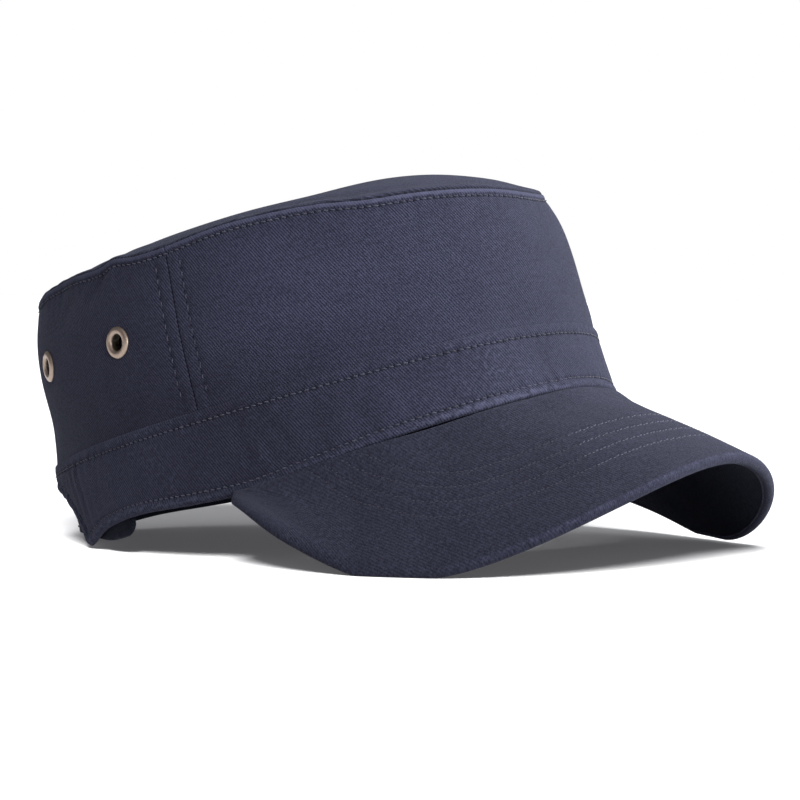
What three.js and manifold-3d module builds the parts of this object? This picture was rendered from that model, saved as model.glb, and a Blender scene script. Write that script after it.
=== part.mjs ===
// Flat-top cadet cap of cotton twill, lying at rest on a flat surface.
// Millimetres, +Z up. The front points to -Y and the wearer's right is -X.
// The cap is drawn upright first, then tilted as it rests: on its back strap and the two
// low sides of its peak. Angles round the cap are in degrees: 0 is the wearer's left,
// 90 the back, 180 the wearer's right and 270 the front.

import * as THREE from 'three';
import { mergeVertices } from 'three/addons/utils/BufferGeometryUtils.js';
import Module from 'manifold-3d';

const wasm = await Module();
wasm.setup();

// Driving dimensions

const CLEARANCE = 0.3;
const REST_TILT = 15.1;
const REST_RAISE = 28.9;
const CENTRE_SHIFT = 18;

// Oval of the head opening, outside the band
const FOOT_HALF_WIDTH = 81;
const FOOT_HALF_LENGTH = 102.4;
const FOOT_BACK_SHIFT = 1.6;

// Oval of the seam round the flat top
const SEAM_HALF_WIDTH = 77;
const SEAM_HALF_LENGTH = 94.8;
const SEAM_BACK_SHIFT = 2.5;
const SEAM_HEIGHT = 76.5;
const SEAM_BACK_RISE = 1.5;
const SEAM_FRONT_DROP = 10;
const SEAM_SIDE_LEAN = 3;

const WALL = 1.5;
const WALL_SWELL = 1.2;
const TOP_THICKNESS = 1.5;
const TOP_DOME = 11;
const TOP_OVERHANG = 0.6;

const BAND_THICKNESS = 2;
const BAND_TOP_SIDE = 18.3;
const BAND_TOP_FRONT = 22.6;
const BAND_TOP_BACK = 20;
const BACK_OPENING_FOOT_ANGLE = 50;
const BACK_OPENING_TOP_ANGLE = 34;
const CROWN_HEM = 15.4;
const CROWN_INSET = BAND_THICKNESS + CLEARANCE;

const SIDE_SEAM_ANGLE = 184.5;

const STRAP_THICKNESS = 1.7;
const STRAP_HEIGHT = 13.5;
const STRAP_FIXED_END = 28;
const STRAP_FREE_END = 161.5;
const STRAP_END_RADIUS = 5;

const PEAK_HALF_SPAN = 82;
const PEAK_HALF_WIDTH = 96;
const PEAK_REACH = 141;
const PEAK_END_TURN = 80;
const PEAK_CENTRE_Y = -10;
const PEAK_SQUARENESS = 2.45;
const PEAK_FRONT_HEIGHT = 33.5;
const PEAK_ROUND_RADIUS = 2;
const PEAK_ARCH = 0.5;
const PEAK_LIP = 4.5;
const UNDERSIDE_THICKNESS = 1.5;

const EYELET_HOLE_RADIUS = 2.7;
const EYELET_FLANGE_RADIUS = 5;
const EYELET_BARREL = 0.6;
const EYELET_FLANGE_THICKNESS = 0.8;

// Where each side of the peak's edge comes down and climbs again, in degrees out from
// the front, and its height in between
const PEAK_SIDES = {
  right: { archEnd: 46, climbStart: 55.5, lowest: -0.2 },
  left: { archEnd: 40, climbStart: 46, lowest: 1 },
};

// Height of the band's lower edge round the head opening
const FOOT_EDGE = [
  { angle: 0, height: -5 },
  { angle: 30, height: -1.5 },
  { angle: 60, height: 0.5 },
  { angle: 90, height: -0.5 },
  { angle: 120, height: -4 },
  { angle: 140, height: -12.2 },
  { angle: 153, height: -9.2 },
  { angle: 165, height: -8.6 },
  { angle: 180, height: -10.8 },
  { angle: 192, height: -11.8 },
  { angle: 205, height: -9.4 },
  { angle: 225, height: -5 },
  { angle: 270, height: 0 },
  { angle: 315, height: -4 },
  { angle: 340, height: -7 },
];

// Height of the strap's lower edge, from its fixed end on the left to its free end
const STRAP_EDGE = [
  { angle: 20, height: 0 },
  { angle: 60, height: 1 },
  { angle: 75, height: 1 },
  { angle: 90, height: -0.9 },
  { angle: 110, height: -3.3 },
  { angle: 134, height: -6 },
  { angle: 145, height: -10.8 },
  { angle: 153, height: -13.3 },
  { angle: 162, height: -13.6 },
];

// Vent eyelets: place round the cap and height above the level of the head opening
const EYELETS = [
  { name: 'eyelet_right_front', angle: 168.9, height: 47.5 },
  { name: 'eyelet_right_rear', angle: 139.2, height: 50.4 },
  { name: 'eyelet_left_front', angle: 11.1, height: 47.5 },
  { name: 'eyelet_left_rear', angle: 40.8, height: 50.4 },
];

// Soft dents and swells of the crown: depth is positive inward, spreads are half-widths
const DENTS = [
  { angle: 132, rise: 0, angleSpread: 22, riseSpread: 0.14, depth: 2.2 },
  { angle: 128, rise: 0.28, angleSpread: 26, riseSpread: 0.1, depth: -1.3 },
  { angle: 122, rise: 0.82, angleSpread: 36, riseSpread: 0.24, depth: -1.4 },
  { angle: 150, rise: 0.95, angleSpread: 7, riseSpread: 0.14, depth: 2.2 },
  { angle: 163, rise: 0.97, angleSpread: 5, riseSpread: 0.1, depth: 1.6 },
  { angle: 120, rise: 0.5, angleSpread: 14, riseSpread: 0.12, depth: 0.6 },
  { angle: 232, rise: 0.6, angleSpread: 16, riseSpread: 0.3, depth: 1.2 },
  { angle: 262, rise: 0.75, angleSpread: 14, riseSpread: 0.25, depth: -1.2 },
  { angle: 325, rise: 0.6, angleSpread: 18, riseSpread: 0.3, depth: 1.4 },
];

const radians = THREE.MathUtils.degToRad;
const mix = THREE.MathUtils.lerp;
const ease = THREE.MathUtils.smoothstep;

// Shape of the upright cap

// A smooth curve through the heights of a table, at any angle round the cap
function heightAt(table, angle) {
  const turned = ((angle % 360) + 360) % 360;
  const count = table.length;
  const row = (i) => {
    const laps = Math.floor(i / count);
    const { angle: at, height } = table[i - laps * count];
    return { at: at + 360 * laps, height };
  };
  let i = 0;
  while (i + 1 < count && table[i + 1].angle <= turned) i += 1;
  if (turned < table[0].angle) i = -1;
  const [before, from, to, after] = [row(i - 1), row(i), row(i + 1), row(i + 2)];
  const span = to.at - from.at;
  const slopeFrom = (to.height - before.height) / (to.at - before.at);
  const slopeTo = (after.height - from.height) / (after.at - from.at);
  const t = (turned - from.at) / span;
  return (
    from.height * (1 + 2 * t) * (1 - t) ** 2 +
    slopeFrom * span * t * (1 - t) ** 2 +
    to.height * t * t * (3 - 2 * t) +
    slopeTo * span * t * t * (t - 1)
  );
}

function footHeight(angle) {
  return heightAt(FOOT_EDGE, angle);
}

function footPoint(angle) {
  const a = radians(angle);
  return new THREE.Vector3(
    FOOT_HALF_WIDTH * Math.cos(a),
    FOOT_BACK_SHIFT + FOOT_HALF_LENGTH * Math.sin(a),
    footHeight(angle),
  );
}

// Height of the top seam; reach is 1 on the seam and 0 at the centre of the top
function seamHeight(angle, reach = 1) {
  const c = Math.cos(radians(angle)) * reach;
  const s = Math.sin(radians(angle)) * reach;
  const front = Math.max(0, (-s - 0.45) / 0.55);
  const back = Math.max(0, s);
  return SEAM_HEIGHT + SEAM_SIDE_LEAN * c + SEAM_BACK_RISE * back ** 4 - SEAM_FRONT_DROP * front ** 2;
}

function seamPoint(angle, reach = 1) {
  const a = radians(angle);
  return new THREE.Vector3(
    SEAM_HALF_WIDTH * Math.cos(a) * reach,
    SEAM_BACK_SHIFT + SEAM_HALF_LENGTH * Math.sin(a) * reach,
    seamHeight(angle, reach),
  );
}

function outward(angle) {
  const a = radians(angle);
  return new THREE.Vector3(Math.cos(a) / FOOT_HALF_WIDTH, Math.sin(a) / FOOT_HALF_LENGTH, 0).normalize();
}

function fromBack(angle) {
  return Math.abs((((angle % 360) + 360) % 360) - 90);
}

function riseOfHeight(angle, height) {
  const foot = footHeight(angle);
  return (height - foot) / (seamHeight(angle) - foot);
}

function dentDepth(angle, rise) {
  const turned = ((angle % 360) + 360) % 360;
  let depth = 0;
  for (const dent of DENTS) {
    const across = (turned - dent.angle) / dent.angleSpread;
    const up = (rise - dent.rise) / dent.riseSpread;
    depth += dent.depth * Math.exp(-across * across - up * up);
  }
  return depth;
}

// Point of the side wall: rise runs from 0 at the foot to 1 at the top seam, and inset
// is measured inward from the outside of the band
function wallPoint(angle, rise, inset) {
  const point = footPoint(angle).lerp(seamPoint(angle), rise);
  return point.addScaledVector(outward(angle), -inset - dentDepth(angle, rise));
}

// Just above the band's upper edge, as a rise
function ledgeRise(angle) {
  return riseOfHeight(angle, bandTop(angle)) + 0.012;
}

// The crown stands behind the band and swells out above it
function crownPoint(angle, rise, depth) {
  const ledge = ledgeRise(angle);
  const behindBand = CROWN_INSET * (1 - ease(rise, ledge, ledge + 0.05));
  const swell = WALL_SWELL * ease(rise, ledge, 0.7) * Math.sin(Math.PI * rise);
  return wallPoint(angle, rise, behindBand - swell + depth);
}

function bandTop(angle) {
  const s = Math.sin(radians(angle));
  return mix(BAND_TOP_SIDE, s < 0 ? BAND_TOP_FRONT : BAND_TOP_BACK, s * s);
}

// The resting place: tilted about the wearer's left-to-right axis, and soft where it
// meets the surface, so nothing passes below it
function atRest(point) {
  return onSurface(tilted(point));
}

function tilted(point) {
  const turned = point.clone().applyAxisAngle(new THREE.Vector3(1, 0, 0), -radians(REST_TILT));
  turned.z += REST_RAISE;
  return turned;
}

function onSurface(point) {
  return new THREE.Vector3(point.x, point.y + CENTRE_SHIFT, Math.max(0, point.z));
}

// Closed bodies

function bodyFrom(points, triangles) {
  let volume = 0;
  for (const [i, j, k] of triangles) {
    volume += points[i].dot(points[j].clone().cross(points[k]));
  }
  const faces = volume < 0 ? triangles.map(([i, j, k]) => [i, k, j]) : triangles;
  const geometry = new THREE.BufferGeometry();
  geometry.setAttribute('position', new THREE.Float32BufferAttribute(points.flatMap((p) => p.toArray()), 3));
  geometry.setIndex(faces.flat());
  geometry.computeVertexNormals();
  return geometry;
}

// A body swept through closed loops of equal length. It joins up with its start when
// outline is null; otherwise outline gives the loop flat, for its two end faces
function sweptBody(loops, outline = null) {
  const size = loops[0].length;
  const points = loops.flat();
  const triangles = [];
  const rows = outline ? loops.length - 1 : loops.length;
  for (let row = 0; row < rows; row += 1) {
    const next = (row + 1) % loops.length;
    for (let i = 0; i < size; i += 1) {
      const j = (i + 1) % size;
      triangles.push([row * size + i, row * size + j, next * size + j]);
      triangles.push([row * size + i, next * size + j, next * size + i]);
    }
  }
  if (outline) {
    const flat = outline.map(([x, y]) => new THREE.Vector2(x, y));
    const lastRow = (loops.length - 1) * size;
    for (const [i, j, k] of THREE.ShapeUtils.triangulateShape(flat, [])) {
      triangles.push([i, j, k], [lastRow + i, lastRow + k, lastRow + j]);
    }
  }
  return bodyFrom(points, consistent(triangles));
}

// Turns every triangle so that neighbours run opposite ways along their shared edge
function consistent(triangles) {
  const byEdge = new Map();
  triangles.forEach((t, index) => {
    for (let e = 0; e < 3; e += 1) {
      const key = [t[e], t[(e + 1) % 3]].sort((p, q) => p - q).join('_');
      byEdge.set(key, [...(byEdge.get(key) ?? []), index]);
    }
  });
  const turned = triangles.map((t) => [...t]);
  const seen = new Set([0]);
  const queue = [0];
  while (queue.length > 0) {
    const index = queue.pop();
    const t = turned[index];
    for (let e = 0; e < 3; e += 1) {
      const from = t[e];
      const to = t[(e + 1) % 3];
      const key = [from, to].sort((p, q) => p - q).join('_');
      for (const other of byEdge.get(key)) {
        if (seen.has(other)) continue;
        const o = turned[other];
        const same = [0, 1, 2].some((k) => o[k] === from && o[(k + 1) % 3] === to);
        if (same) turned[other] = [o[0], o[2], o[1]];
        seen.add(other);
        queue.push(other);
      }
    }
  }
  return turned;
}

// A curved wall through a list of angles: place(angle, row, side) gives its points, with
// row from 0 at the bottom and side 0 outside or 1 inside
function wallBody(angles, rows, place, ring = false) {
  const outline = [];
  for (let r = 0; r <= rows; r += 1) outline.push([0, r]);
  for (let r = rows; r >= 0; r -= 1) outline.push([1, r]);
  const loops = angles.map((angle) => outline.map(([side, row]) => atRest(place(angle, row, side))));
  return sweptBody(loops, ring ? null : outline);
}

function evenly(from, to, steps) {
  return Array.from({ length: steps + 1 }, (_, i) => mix(from, to, i / steps));
}

// Crown

function crownPanel(startAngle, endAngle) {
  const rows = 8;
  return wallBody(evenly(startAngle, endAngle, 40), rows, (angle, row, side) => {
    const hem = riseOfHeight(angle, CROWN_HEM);
    const top = riseOfHeight(angle, seamHeight(angle) - TOP_THICKNESS - CLEARANCE);
    const ledge = ledgeRise(angle);
    const rise = row < 2 ? mix(hem, ledge, row) : mix(ledge + 0.05, top, (row - 2) / (rows - 2));
    return crownPoint(angle, rise, side * WALL);
  });
}

function frontPanel() {
  return crownPanel(SIDE_SEAM_ANGLE + 0.15, 540 - SIDE_SEAM_ANGLE - 0.15);
}

function backPanel() {
  const whole = solidFrom(crownPanel(180 - SIDE_SEAM_ANGLE + 0.15, SIDE_SEAM_ANGLE - 0.15));
  const drill = new THREE.CylinderGeometry(
    EYELET_HOLE_RADIUS + EYELET_BARREL + CLEARANCE,
    EYELET_HOLE_RADIUS + EYELET_BARREL + CLEARANCE,
    12 * WALL,
    14,
  );
  let panel = whole;
  for (const eyelet of EYELETS) {
    const hole = drill.clone().applyMatrix4(eyeletPlace(eyelet));
    panel = panel.subtract(solidFrom(hole));
  }
  return geometryFrom(panel);
}

function topPanel() {
  const around = 46;
  const reaches = [1, 0.97, 0.9, 0.78, 0.62, 0.42, 0.2];
  const points = [];
  const triangles = [];
  for (const depth of [0, TOP_THICKNESS]) {
    for (const reach of reaches) {
      for (let i = 0; i < around; i += 1) {
        points.push(atRest(topPoint((360 * i) / around, reach, depth)));
      }
    }
    points.push(atRest(topPoint(0, 0, depth)));
  }
  const rings = reaches.length;
  const layer = rings * around + 1;
  for (const start of [0, layer]) {
    for (let r = 0; r + 1 < rings; r += 1) {
      for (let i = 0; i < around; i += 1) {
        const a = start + r * around + i;
        const b = start + r * around + ((i + 1) % around);
        triangles.push([a, b, b + around], [a, b + around, a + around]);
      }
    }
    const lastRing = start + (rings - 1) * around;
    for (let i = 0; i < around; i += 1) {
      triangles.push([lastRing + i, lastRing + ((i + 1) % around), start + layer - 1]);
    }
  }
  for (let i = 0; i < around; i += 1) {
    const a = i;
    const b = (i + 1) % around;
    triangles.push([a, b, b + layer], [a, b + layer, a + layer]);
  }
  return bodyFrom(points, consistent(triangles));
}

function topPoint(angle, reach, depth) {
  const edge = crownPoint(angle, 1, -TOP_OVERHANG * reach);
  const centre = seamPoint(0, 0);
  const point = centre.lerp(edge, reach);
  point.z = seamHeight(angle, reach) + TOP_DOME * (1 - reach ** 2.4) - depth;
  return point;
}

// Band and strap

function strapTop(angle) {
  return heightAt(STRAP_EDGE, angle) + STRAP_HEIGHT;
}

// The band's lower edge lifts over the strap in an arched opening at the back
function bandBottom(angle) {
  const width = BACK_OPENING_FOOT_ANGLE - BACK_OPENING_TOP_ANGLE;
  const beyondTop = (fromBack(angle) - BACK_OPENING_TOP_ANGLE) / width;
  const arch = Math.sqrt(1 - Math.min(1, Math.max(0, beyondTop)) ** 2);
  return mix(footHeight(angle), strapTop(angle) + 1.2, arch);
}

function headband() {
  const opening = [34, 38, 42, 45, 47.5, 49, 50];
  const angles = [
    ...opening.map((a) => 90 + a),
    ...evenly(144, 396, 50),
    ...opening.map((a) => 450 - a).reverse(),
    ...evenly(420, 480, 8),
  ];
  const rows = 4;
  return wallBody(
    [...new Set(angles)].sort((a, b) => a - b),
    rows,
    (angle, row, side) => {
      const bottom = riseOfHeight(angle, bandBottom(angle));
      const top = riseOfHeight(angle, bandTop(angle));
      return wallPoint(angle, mix(bottom, top, row / rows), side * BAND_THICKNESS);
    },
    true,
  );
}

// The strap runs inside the band and shows in the opening at the back. Its rounded free
// end hangs below the band on the wearer's right.
function strap() {
  const rows = 4;
  const nearEnd = [4, 2.6, 1.6, 0.8, 0.3, 0].map((a) => STRAP_FREE_END - a);
  const angles = [...evenly(STRAP_FIXED_END, STRAP_FREE_END - 6, 30), ...nearEnd];
  return wallBody(angles, rows, (angle, row, side) => {
    const arcToEnd = radians(STRAP_FREE_END - angle) * FOOT_HALF_WIDTH;
    const missing = Math.max(0, STRAP_END_RADIUS - arcToEnd);
    const rounding = STRAP_END_RADIUS - Math.sqrt(STRAP_END_RADIUS ** 2 - missing ** 2);
    const top = strapTop(angle) - rounding;
    const bottom = strapTop(angle) - STRAP_HEIGHT + rounding;
    const height = mix(bottom, top, row / rows);
    return wallPoint(angle, riseOfHeight(angle, height), CROWN_INSET + side * STRAP_THICKNESS);
  });
}

// Peak: across runs from -1 at its right end to 1 at its left end, and out from 0 at the
// band to 1 at its edge

function peakRoot(across) {
  const angle = 270 + PEAK_HALF_SPAN * across;
  const point = wallPoint(angle, 0, 1);
  point.z -= PEAK_ROUND_RADIUS + CLEARANCE + 0.1;
  return tilted(point);
}

function peakEdgeHeight(turn) {
  const { archEnd, climbStart, lowest } = turn < 0 ? PEAK_SIDES.right : PEAK_SIDES.left;
  const out = Math.abs(turn);
  const arch = Math.cos(radians(Math.min(90, (90 * out) / archEnd))) ** 1.6;
  const climb = Math.max(0, (out - climbStart) / (PEAK_END_TURN - climbStart)) ** 1.15;
  return mix(lowest, PEAK_FRONT_HEIGHT, arch) + 21 * climb;
}

function peakEdge(across) {
  const turn = PEAK_END_TURN * across;
  const s = Math.abs(Math.sin(radians(turn))) / PEAK_HALF_WIDTH;
  const c = Math.abs(Math.cos(radians(turn))) / PEAK_REACH;
  const reach = (s ** PEAK_SQUARENESS + c ** PEAK_SQUARENESS) ** (-1 / PEAK_SQUARENESS);
  const edge = new THREE.Vector3(
    reach * Math.sin(radians(turn)),
    PEAK_CENTRE_Y - reach * Math.cos(radians(turn)),
    peakEdgeHeight(turn),
  );
  const cornering = Math.min(1, Math.max(0, (Math.abs(across) - 0.84) / 0.16));
  const share = 0.5 + 0.5 * Math.sqrt(1 - cornering * cornering);
  return peakRoot(across).lerp(edge, share);
}

function peakMiddle(across, out) {
  const point = peakRoot(across).lerp(peakEdge(across), out);
  const lift = PEAK_ARCH * 4 * out * (1 - out) * (1 - 0.6 * Math.abs(across));
  point.z += lift;
  point.x += 0.6 * lift * across;
  return point;
}

function peakNormal(across, out) {
  const step = 0.004;
  const along = peakMiddle(Math.min(1, across + step), out).sub(peakMiddle(Math.max(-1, across - step), out));
  const outFrom = Math.max(0, out - step);
  const outTo = Math.min(1, out + step);
  const outwards = peakMiddle(across, outTo).sub(peakMiddle(across, outFrom));
  return outwards.cross(along).normalize();
}

// Section of the peak: each corner is a share of the way out, less a distance back from
// the edge, and a height above the middle of the peak's thickness
function peakBody(section, end) {
  const loops = [];
  for (const across of evenly(-end, end, 42)) {
    const length = peakRoot(across).distanceTo(peakEdge(across));
    loops.push(
      section.map(({ out, back, height }) => {
        const place = out * (1 - back / length);
        return onSurface(peakMiddle(across, place).addScaledVector(peakNormal(across, place), height));
      }),
    );
  }
  const outline = section.map(({ out, back, height }) => [60 * out - back, height]);
  return sweptBody(loops, outline);
}

function peakCover() {
  const r = PEAK_ROUND_RADIUS;
  const section = [];
  for (const out of [0, 0.2, 0.4, 0.6, 0.8]) section.push({ out, back: 0, height: r });
  for (const turn of [90, 45, 0, -45, -90]) {
    section.push({ out: 1, back: r - r * Math.cos(radians(turn)), height: r * Math.sin(radians(turn)) });
  }
  section.push({ out: 1, back: PEAK_LIP, height: -r });
  section.push({ out: 1, back: PEAK_LIP, height: 0 });
  for (const out of [0.66, 0.44, 0.22, 0]) section.push({ out, back: 0, height: 0 });
  return peakBody(section, 1);
}

function peakUnderside() {
  const back = PEAK_LIP + CLEARANCE;
  const upper = -1.4 * CLEARANCE;
  const lower = upper - UNDERSIDE_THICKNESS;
  const section = [];
  for (const out of [0, 0.33, 0.66, 1]) section.push({ out, back: out * back, height: upper });
  for (const out of [1, 0.66, 0.33, 0]) section.push({ out, back: out * back, height: lower });
  return peakBody(section, 0.93);
}

// Eyelets

function eyeletPlace({ angle, height }) {
  const rise = riseOfHeight(angle, height);
  const centre = atRest(crownPoint(angle, rise, 0));
  const along = atRest(crownPoint(angle + 1, rise, 0)).sub(atRest(crownPoint(angle - 1, rise, 0)));
  const up = atRest(crownPoint(angle, rise + 0.02, 0)).sub(atRest(crownPoint(angle, rise - 0.02, 0)));
  const axis = along.clone().cross(up).normalize();
  const turn = new THREE.Quaternion().setFromUnitVectors(new THREE.Vector3(0, 1, 0), axis);
  return new THREE.Matrix4().compose(centre, turn, new THREE.Vector3(1, 1, 1));
}

// A barrel through the wall with a rounded flange outside and a flat one inside
function eyeletGeometry(eyelet) {
  const hole = EYELET_HOLE_RADIUS;
  const barrel = hole + EYELET_BARREL;
  const rim = EYELET_FLANGE_RADIUS;
  const outside = CLEARANCE + 0.1;
  const inside = -WALL - CLEARANCE - 0.1;
  const thick = EYELET_FLANGE_THICKNESS;
  const profile = [
    [hole, inside - thick],
    [rim, inside - thick],
    [rim, inside],
    [barrel, inside],
    [barrel, outside],
    [rim, outside],
    [rim - 0.3, outside + 0.6 * thick],
    [mix(hole, rim, 0.5), outside + thick],
    [hole + 0.3, outside + 0.6 * thick],
    [hole, outside],
    [hole, inside - thick],
  ].map(([x, y]) => new THREE.Vector2(x, y));
  return new THREE.LatheGeometry(profile, 14).applyMatrix4(eyeletPlace(eyelet));
}

// Joining and cutting

function solidFrom(geometry) {
  const bare = geometry.clone();
  bare.deleteAttribute('normal');
  bare.deleteAttribute('uv');
  const merged = mergeVertices(bare, 1e-4);
  return new wasm.Manifold(
    new wasm.Mesh({
      numProp: 3,
      vertProperties: new Float32Array(merged.attributes.position.array),
      triVerts: new Uint32Array(merged.index.array),
    }),
  );
}

function geometryFrom(solid) {
  const mesh = solid.getMesh();
  const geometry = new THREE.BufferGeometry();
  geometry.setAttribute('position', new THREE.BufferAttribute(mesh.vertProperties, 3));
  geometry.setIndex(new THREE.BufferAttribute(mesh.triVerts, 1));
  geometry.computeVertexNormals();
  return geometry;
}

// Assembly

const twill = { color: 0x3c3f4d, roughness: 0.9, metalness: 0 };
const shadedTwill = { color: 0x23252e, roughness: 0.92, metalness: 0 };
const brass = { color: 0x8a6a48, roughness: 0.42, metalness: 0.9 };

const cap = new THREE.Group();

function addPiece(name, geometry, finish) {
  const mesh = new THREE.Mesh(geometry, new THREE.MeshStandardMaterial(finish));
  mesh.name = name;
  cap.add(mesh);
}

addPiece('top_panel', topPanel(), twill);
addPiece('front_panel', frontPanel(), twill);
addPiece('back_panel', backPanel(), twill);
addPiece('headband', headband(), twill);
addPiece('peak', peakCover(), twill);
addPiece('peak_underside', peakUnderside(), shadedTwill);
addPiece('strap', strap(), shadedTwill);
for (const eyelet of EYELETS) {
  addPiece(eyelet.name, eyeletGeometry(eyelet), brass);
}

export default cap;
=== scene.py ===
import bpy
import numpy as np
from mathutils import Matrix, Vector


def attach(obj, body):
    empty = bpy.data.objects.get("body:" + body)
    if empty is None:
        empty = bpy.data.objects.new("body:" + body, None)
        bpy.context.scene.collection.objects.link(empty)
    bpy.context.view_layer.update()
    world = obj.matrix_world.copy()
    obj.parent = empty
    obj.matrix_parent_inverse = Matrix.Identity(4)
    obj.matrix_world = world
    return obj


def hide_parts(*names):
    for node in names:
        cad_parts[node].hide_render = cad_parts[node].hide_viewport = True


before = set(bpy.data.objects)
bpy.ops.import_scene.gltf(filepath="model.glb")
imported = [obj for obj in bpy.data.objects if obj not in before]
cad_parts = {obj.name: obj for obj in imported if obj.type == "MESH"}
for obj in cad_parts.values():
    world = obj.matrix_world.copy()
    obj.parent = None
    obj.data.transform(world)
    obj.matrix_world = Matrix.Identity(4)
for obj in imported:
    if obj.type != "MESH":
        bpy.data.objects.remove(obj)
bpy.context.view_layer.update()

# The cap's own shape is drawn in millimetres, upright, and then tilted as it rests.
# Angles round it are in degrees: 0 is the wearer's left, 90 the back, 180 the wearer's
# right and 270 the front. The front points to -Y.
MILLIMETRE = 0.001

CLEARANCE = 0.3
REST_TILT = 15.1
REST_RAISE = 28.9
CENTRE_SHIFT = 18

# Oval of the head opening, outside the band
FOOT_HALF_WIDTH = 81
FOOT_HALF_LENGTH = 102.4
FOOT_BACK_SHIFT = 1.6

# Oval of the seam round the flat top
SEAM_HALF_WIDTH = 77
SEAM_HALF_LENGTH = 94.8
SEAM_BACK_SHIFT = 2.5
SEAM_HEIGHT = 76.5
SEAM_BACK_RISE = 1.5
SEAM_FRONT_DROP = 10
SEAM_DROP_START = 0.45
SEAM_SIDE_LEAN = 3

WALL = 1.5
WALL_SWELL = 1.2
TOP_THICKNESS = 1.5
TOP_DOME = 11
TOP_OVERHANG = 0.15

BAND_THICKNESS = 2
BAND_TOP_SIDE = 18.3
BAND_TOP_FRONT = 22.6
BAND_TOP_BACK = 20
BACK_OPENING_FOOT_ANGLE = 50
BACK_OPENING_TOP_ANGLE = 34
BACK_OPENING_GAP = 1.2
CORNER_RADIUS = 4.6
CORNER_WIDTH = 2.5
CROWN_HEM = 15.4
CROWN_INSET = BAND_THICKNESS + CLEARANCE

RIGHT_SEAM_ANGLE = 184.5
LEFT_SEAM_ANGLE = 355.5

STRAP_THICKNESS = 1.7
STRAP_HEIGHT = 13.5
STRAP_FIXED_END = 28
STRAP_FREE_END = 161.5
STRAP_END_RADIUS = 5

PEAK_HALF_SPAN = 82
PEAK_HALF_WIDTH = 96
PEAK_REACH = 141
PEAK_END_TURN = 80
PEAK_CENTRE_Y = -10
PEAK_SQUARENESS = 2.45
PEAK_FRONT_HEIGHT = 33.5
PEAK_ROUND_RADIUS = 2
PEAK_ARCH = 0.5
UNDERSIDE_THICKNESS = 1.5

# Height of the band's lower edge round the head opening: angle, height
FOOT_EDGE = [
    (0, -5), (30, -1.5), (60, 0.5), (90, -0.5), (120, -4), (140, -12.2), (153, -9.2), (165, -8.6),
    (180, -10.8), (192, -11.8), (205, -9.4), (225, -5), (270, 0), (315, -4), (340, -7),
]

# Height of the strap's lower edge: angle, height
STRAP_EDGE = [
    (20, 0), (60, 1), (75, 1), (90, -0.9), (110, -3.3), (134, -6), (145, -10.8), (153, -13.3), (162, -13.6),
]

# Vent eyelets: name, angle round the cap, height above the level of the head opening
EYELETS = [
    ("eyelet_right_front", 168.9, 47.5),
    ("eyelet_right_rear", 139.2, 50.4),
    ("eyelet_left_front", 11.1, 47.5),
    ("eyelet_left_rear", 40.8, 50.4),
]

# Soft dents and swells of the crown: angle, rise, half-widths of both, depth inward
DENTS = [
    (132, 0, 22, 0.14, 2.2), (128, 0.28, 26, 0.1, -1.3), (122, 0.82, 36, 0.24, -1.4),
    (150, 0.95, 7, 0.14, 2.2), (163, 0.97, 5, 0.1, 1.6), (120, 0.5, 14, 0.12, 0.6),
    (232, 0.6, 16, 0.3, 1.2), (262, 0.75, 14, 0.25, -1.2), (325, 0.6, 18, 0.3, 1.4),
    (300, 1.02, 26, 0.12, 2.3), (300, 0.78, 18, 0.14, -0.5), (117, 1.02, 26, 0.14, 2.0),
    (312, 0.36, 15, 0.1, -1.6),
]

# Small rises and dips of the top seam: angle, half-width, height
SEAM_KINKS = [
    (151, 13, 1.5), (171, 3.5, 1.3), (183, 7, -0.5), (199, 9, 0.8), (228, 8, -0.8), (256, 23, 2.8),
    (301, 14, -0.4),
]


# Shape of the upright cap


def ease(x, low, high):
    """Climbs smoothly from 0 at low to 1 at high."""
    t = np.clip((x - low) / (high - low), 0, 1)
    return t * t * (3 - 2 * t)


def mix(a, b, t):
    return a + (b - a) * t


def bump(x):
    """1 at 0, falling softly to nothing about 2 away."""
    return np.exp(-x * x)


def near(angle, at, spread):
    """1 at an angle round the cap, falling softly to nothing about two spreads away."""
    return bump((np.mod(angle, 360) - at) / spread)


def height_at(table, angle):
    """A smooth curve through the heights of a table, at any angle round the cap."""
    at = np.array([row[0] for row in table], float)
    heights = np.array([row[1] for row in table], float)
    at = np.concatenate([at[-2:] - 360, at, at[:2] + 360])
    heights = np.concatenate([heights[-2:], heights, heights[:2]])
    slopes = np.zeros(len(at))
    slopes[1:-1] = (heights[2:] - heights[:-2]) / (at[2:] - at[:-2])
    turned = np.mod(angle, 360)
    i = np.clip(np.searchsorted(at, turned, side="right") - 1, 1, len(at) - 3)
    span = at[i + 1] - at[i]
    t = (turned - at[i]) / span
    return (
        heights[i] * (1 + 2 * t) * (1 - t) ** 2
        + slopes[i] * span * t * (1 - t) ** 2
        + heights[i + 1] * t * t * (3 - 2 * t)
        + slopes[i + 1] * span * t * t * (t - 1)
    )


def cos_sin(angle):
    return np.cos(np.radians(angle)), np.sin(np.radians(angle))


def unit(vector):
    return vector / np.linalg.norm(vector, axis=-1, keepdims=True)


def run_along(path):
    """How far along a path each of its points lies."""
    return np.concatenate([[0], np.cumsum(np.linalg.norm(np.diff(path, axis=0), axis=-1))])


def pairs(first, second):
    """Two values at every place of a grid."""
    return np.stack(np.broadcast_arrays(first, second), -1)


def foot_height(angle):
    return height_at(FOOT_EDGE, angle)


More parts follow.
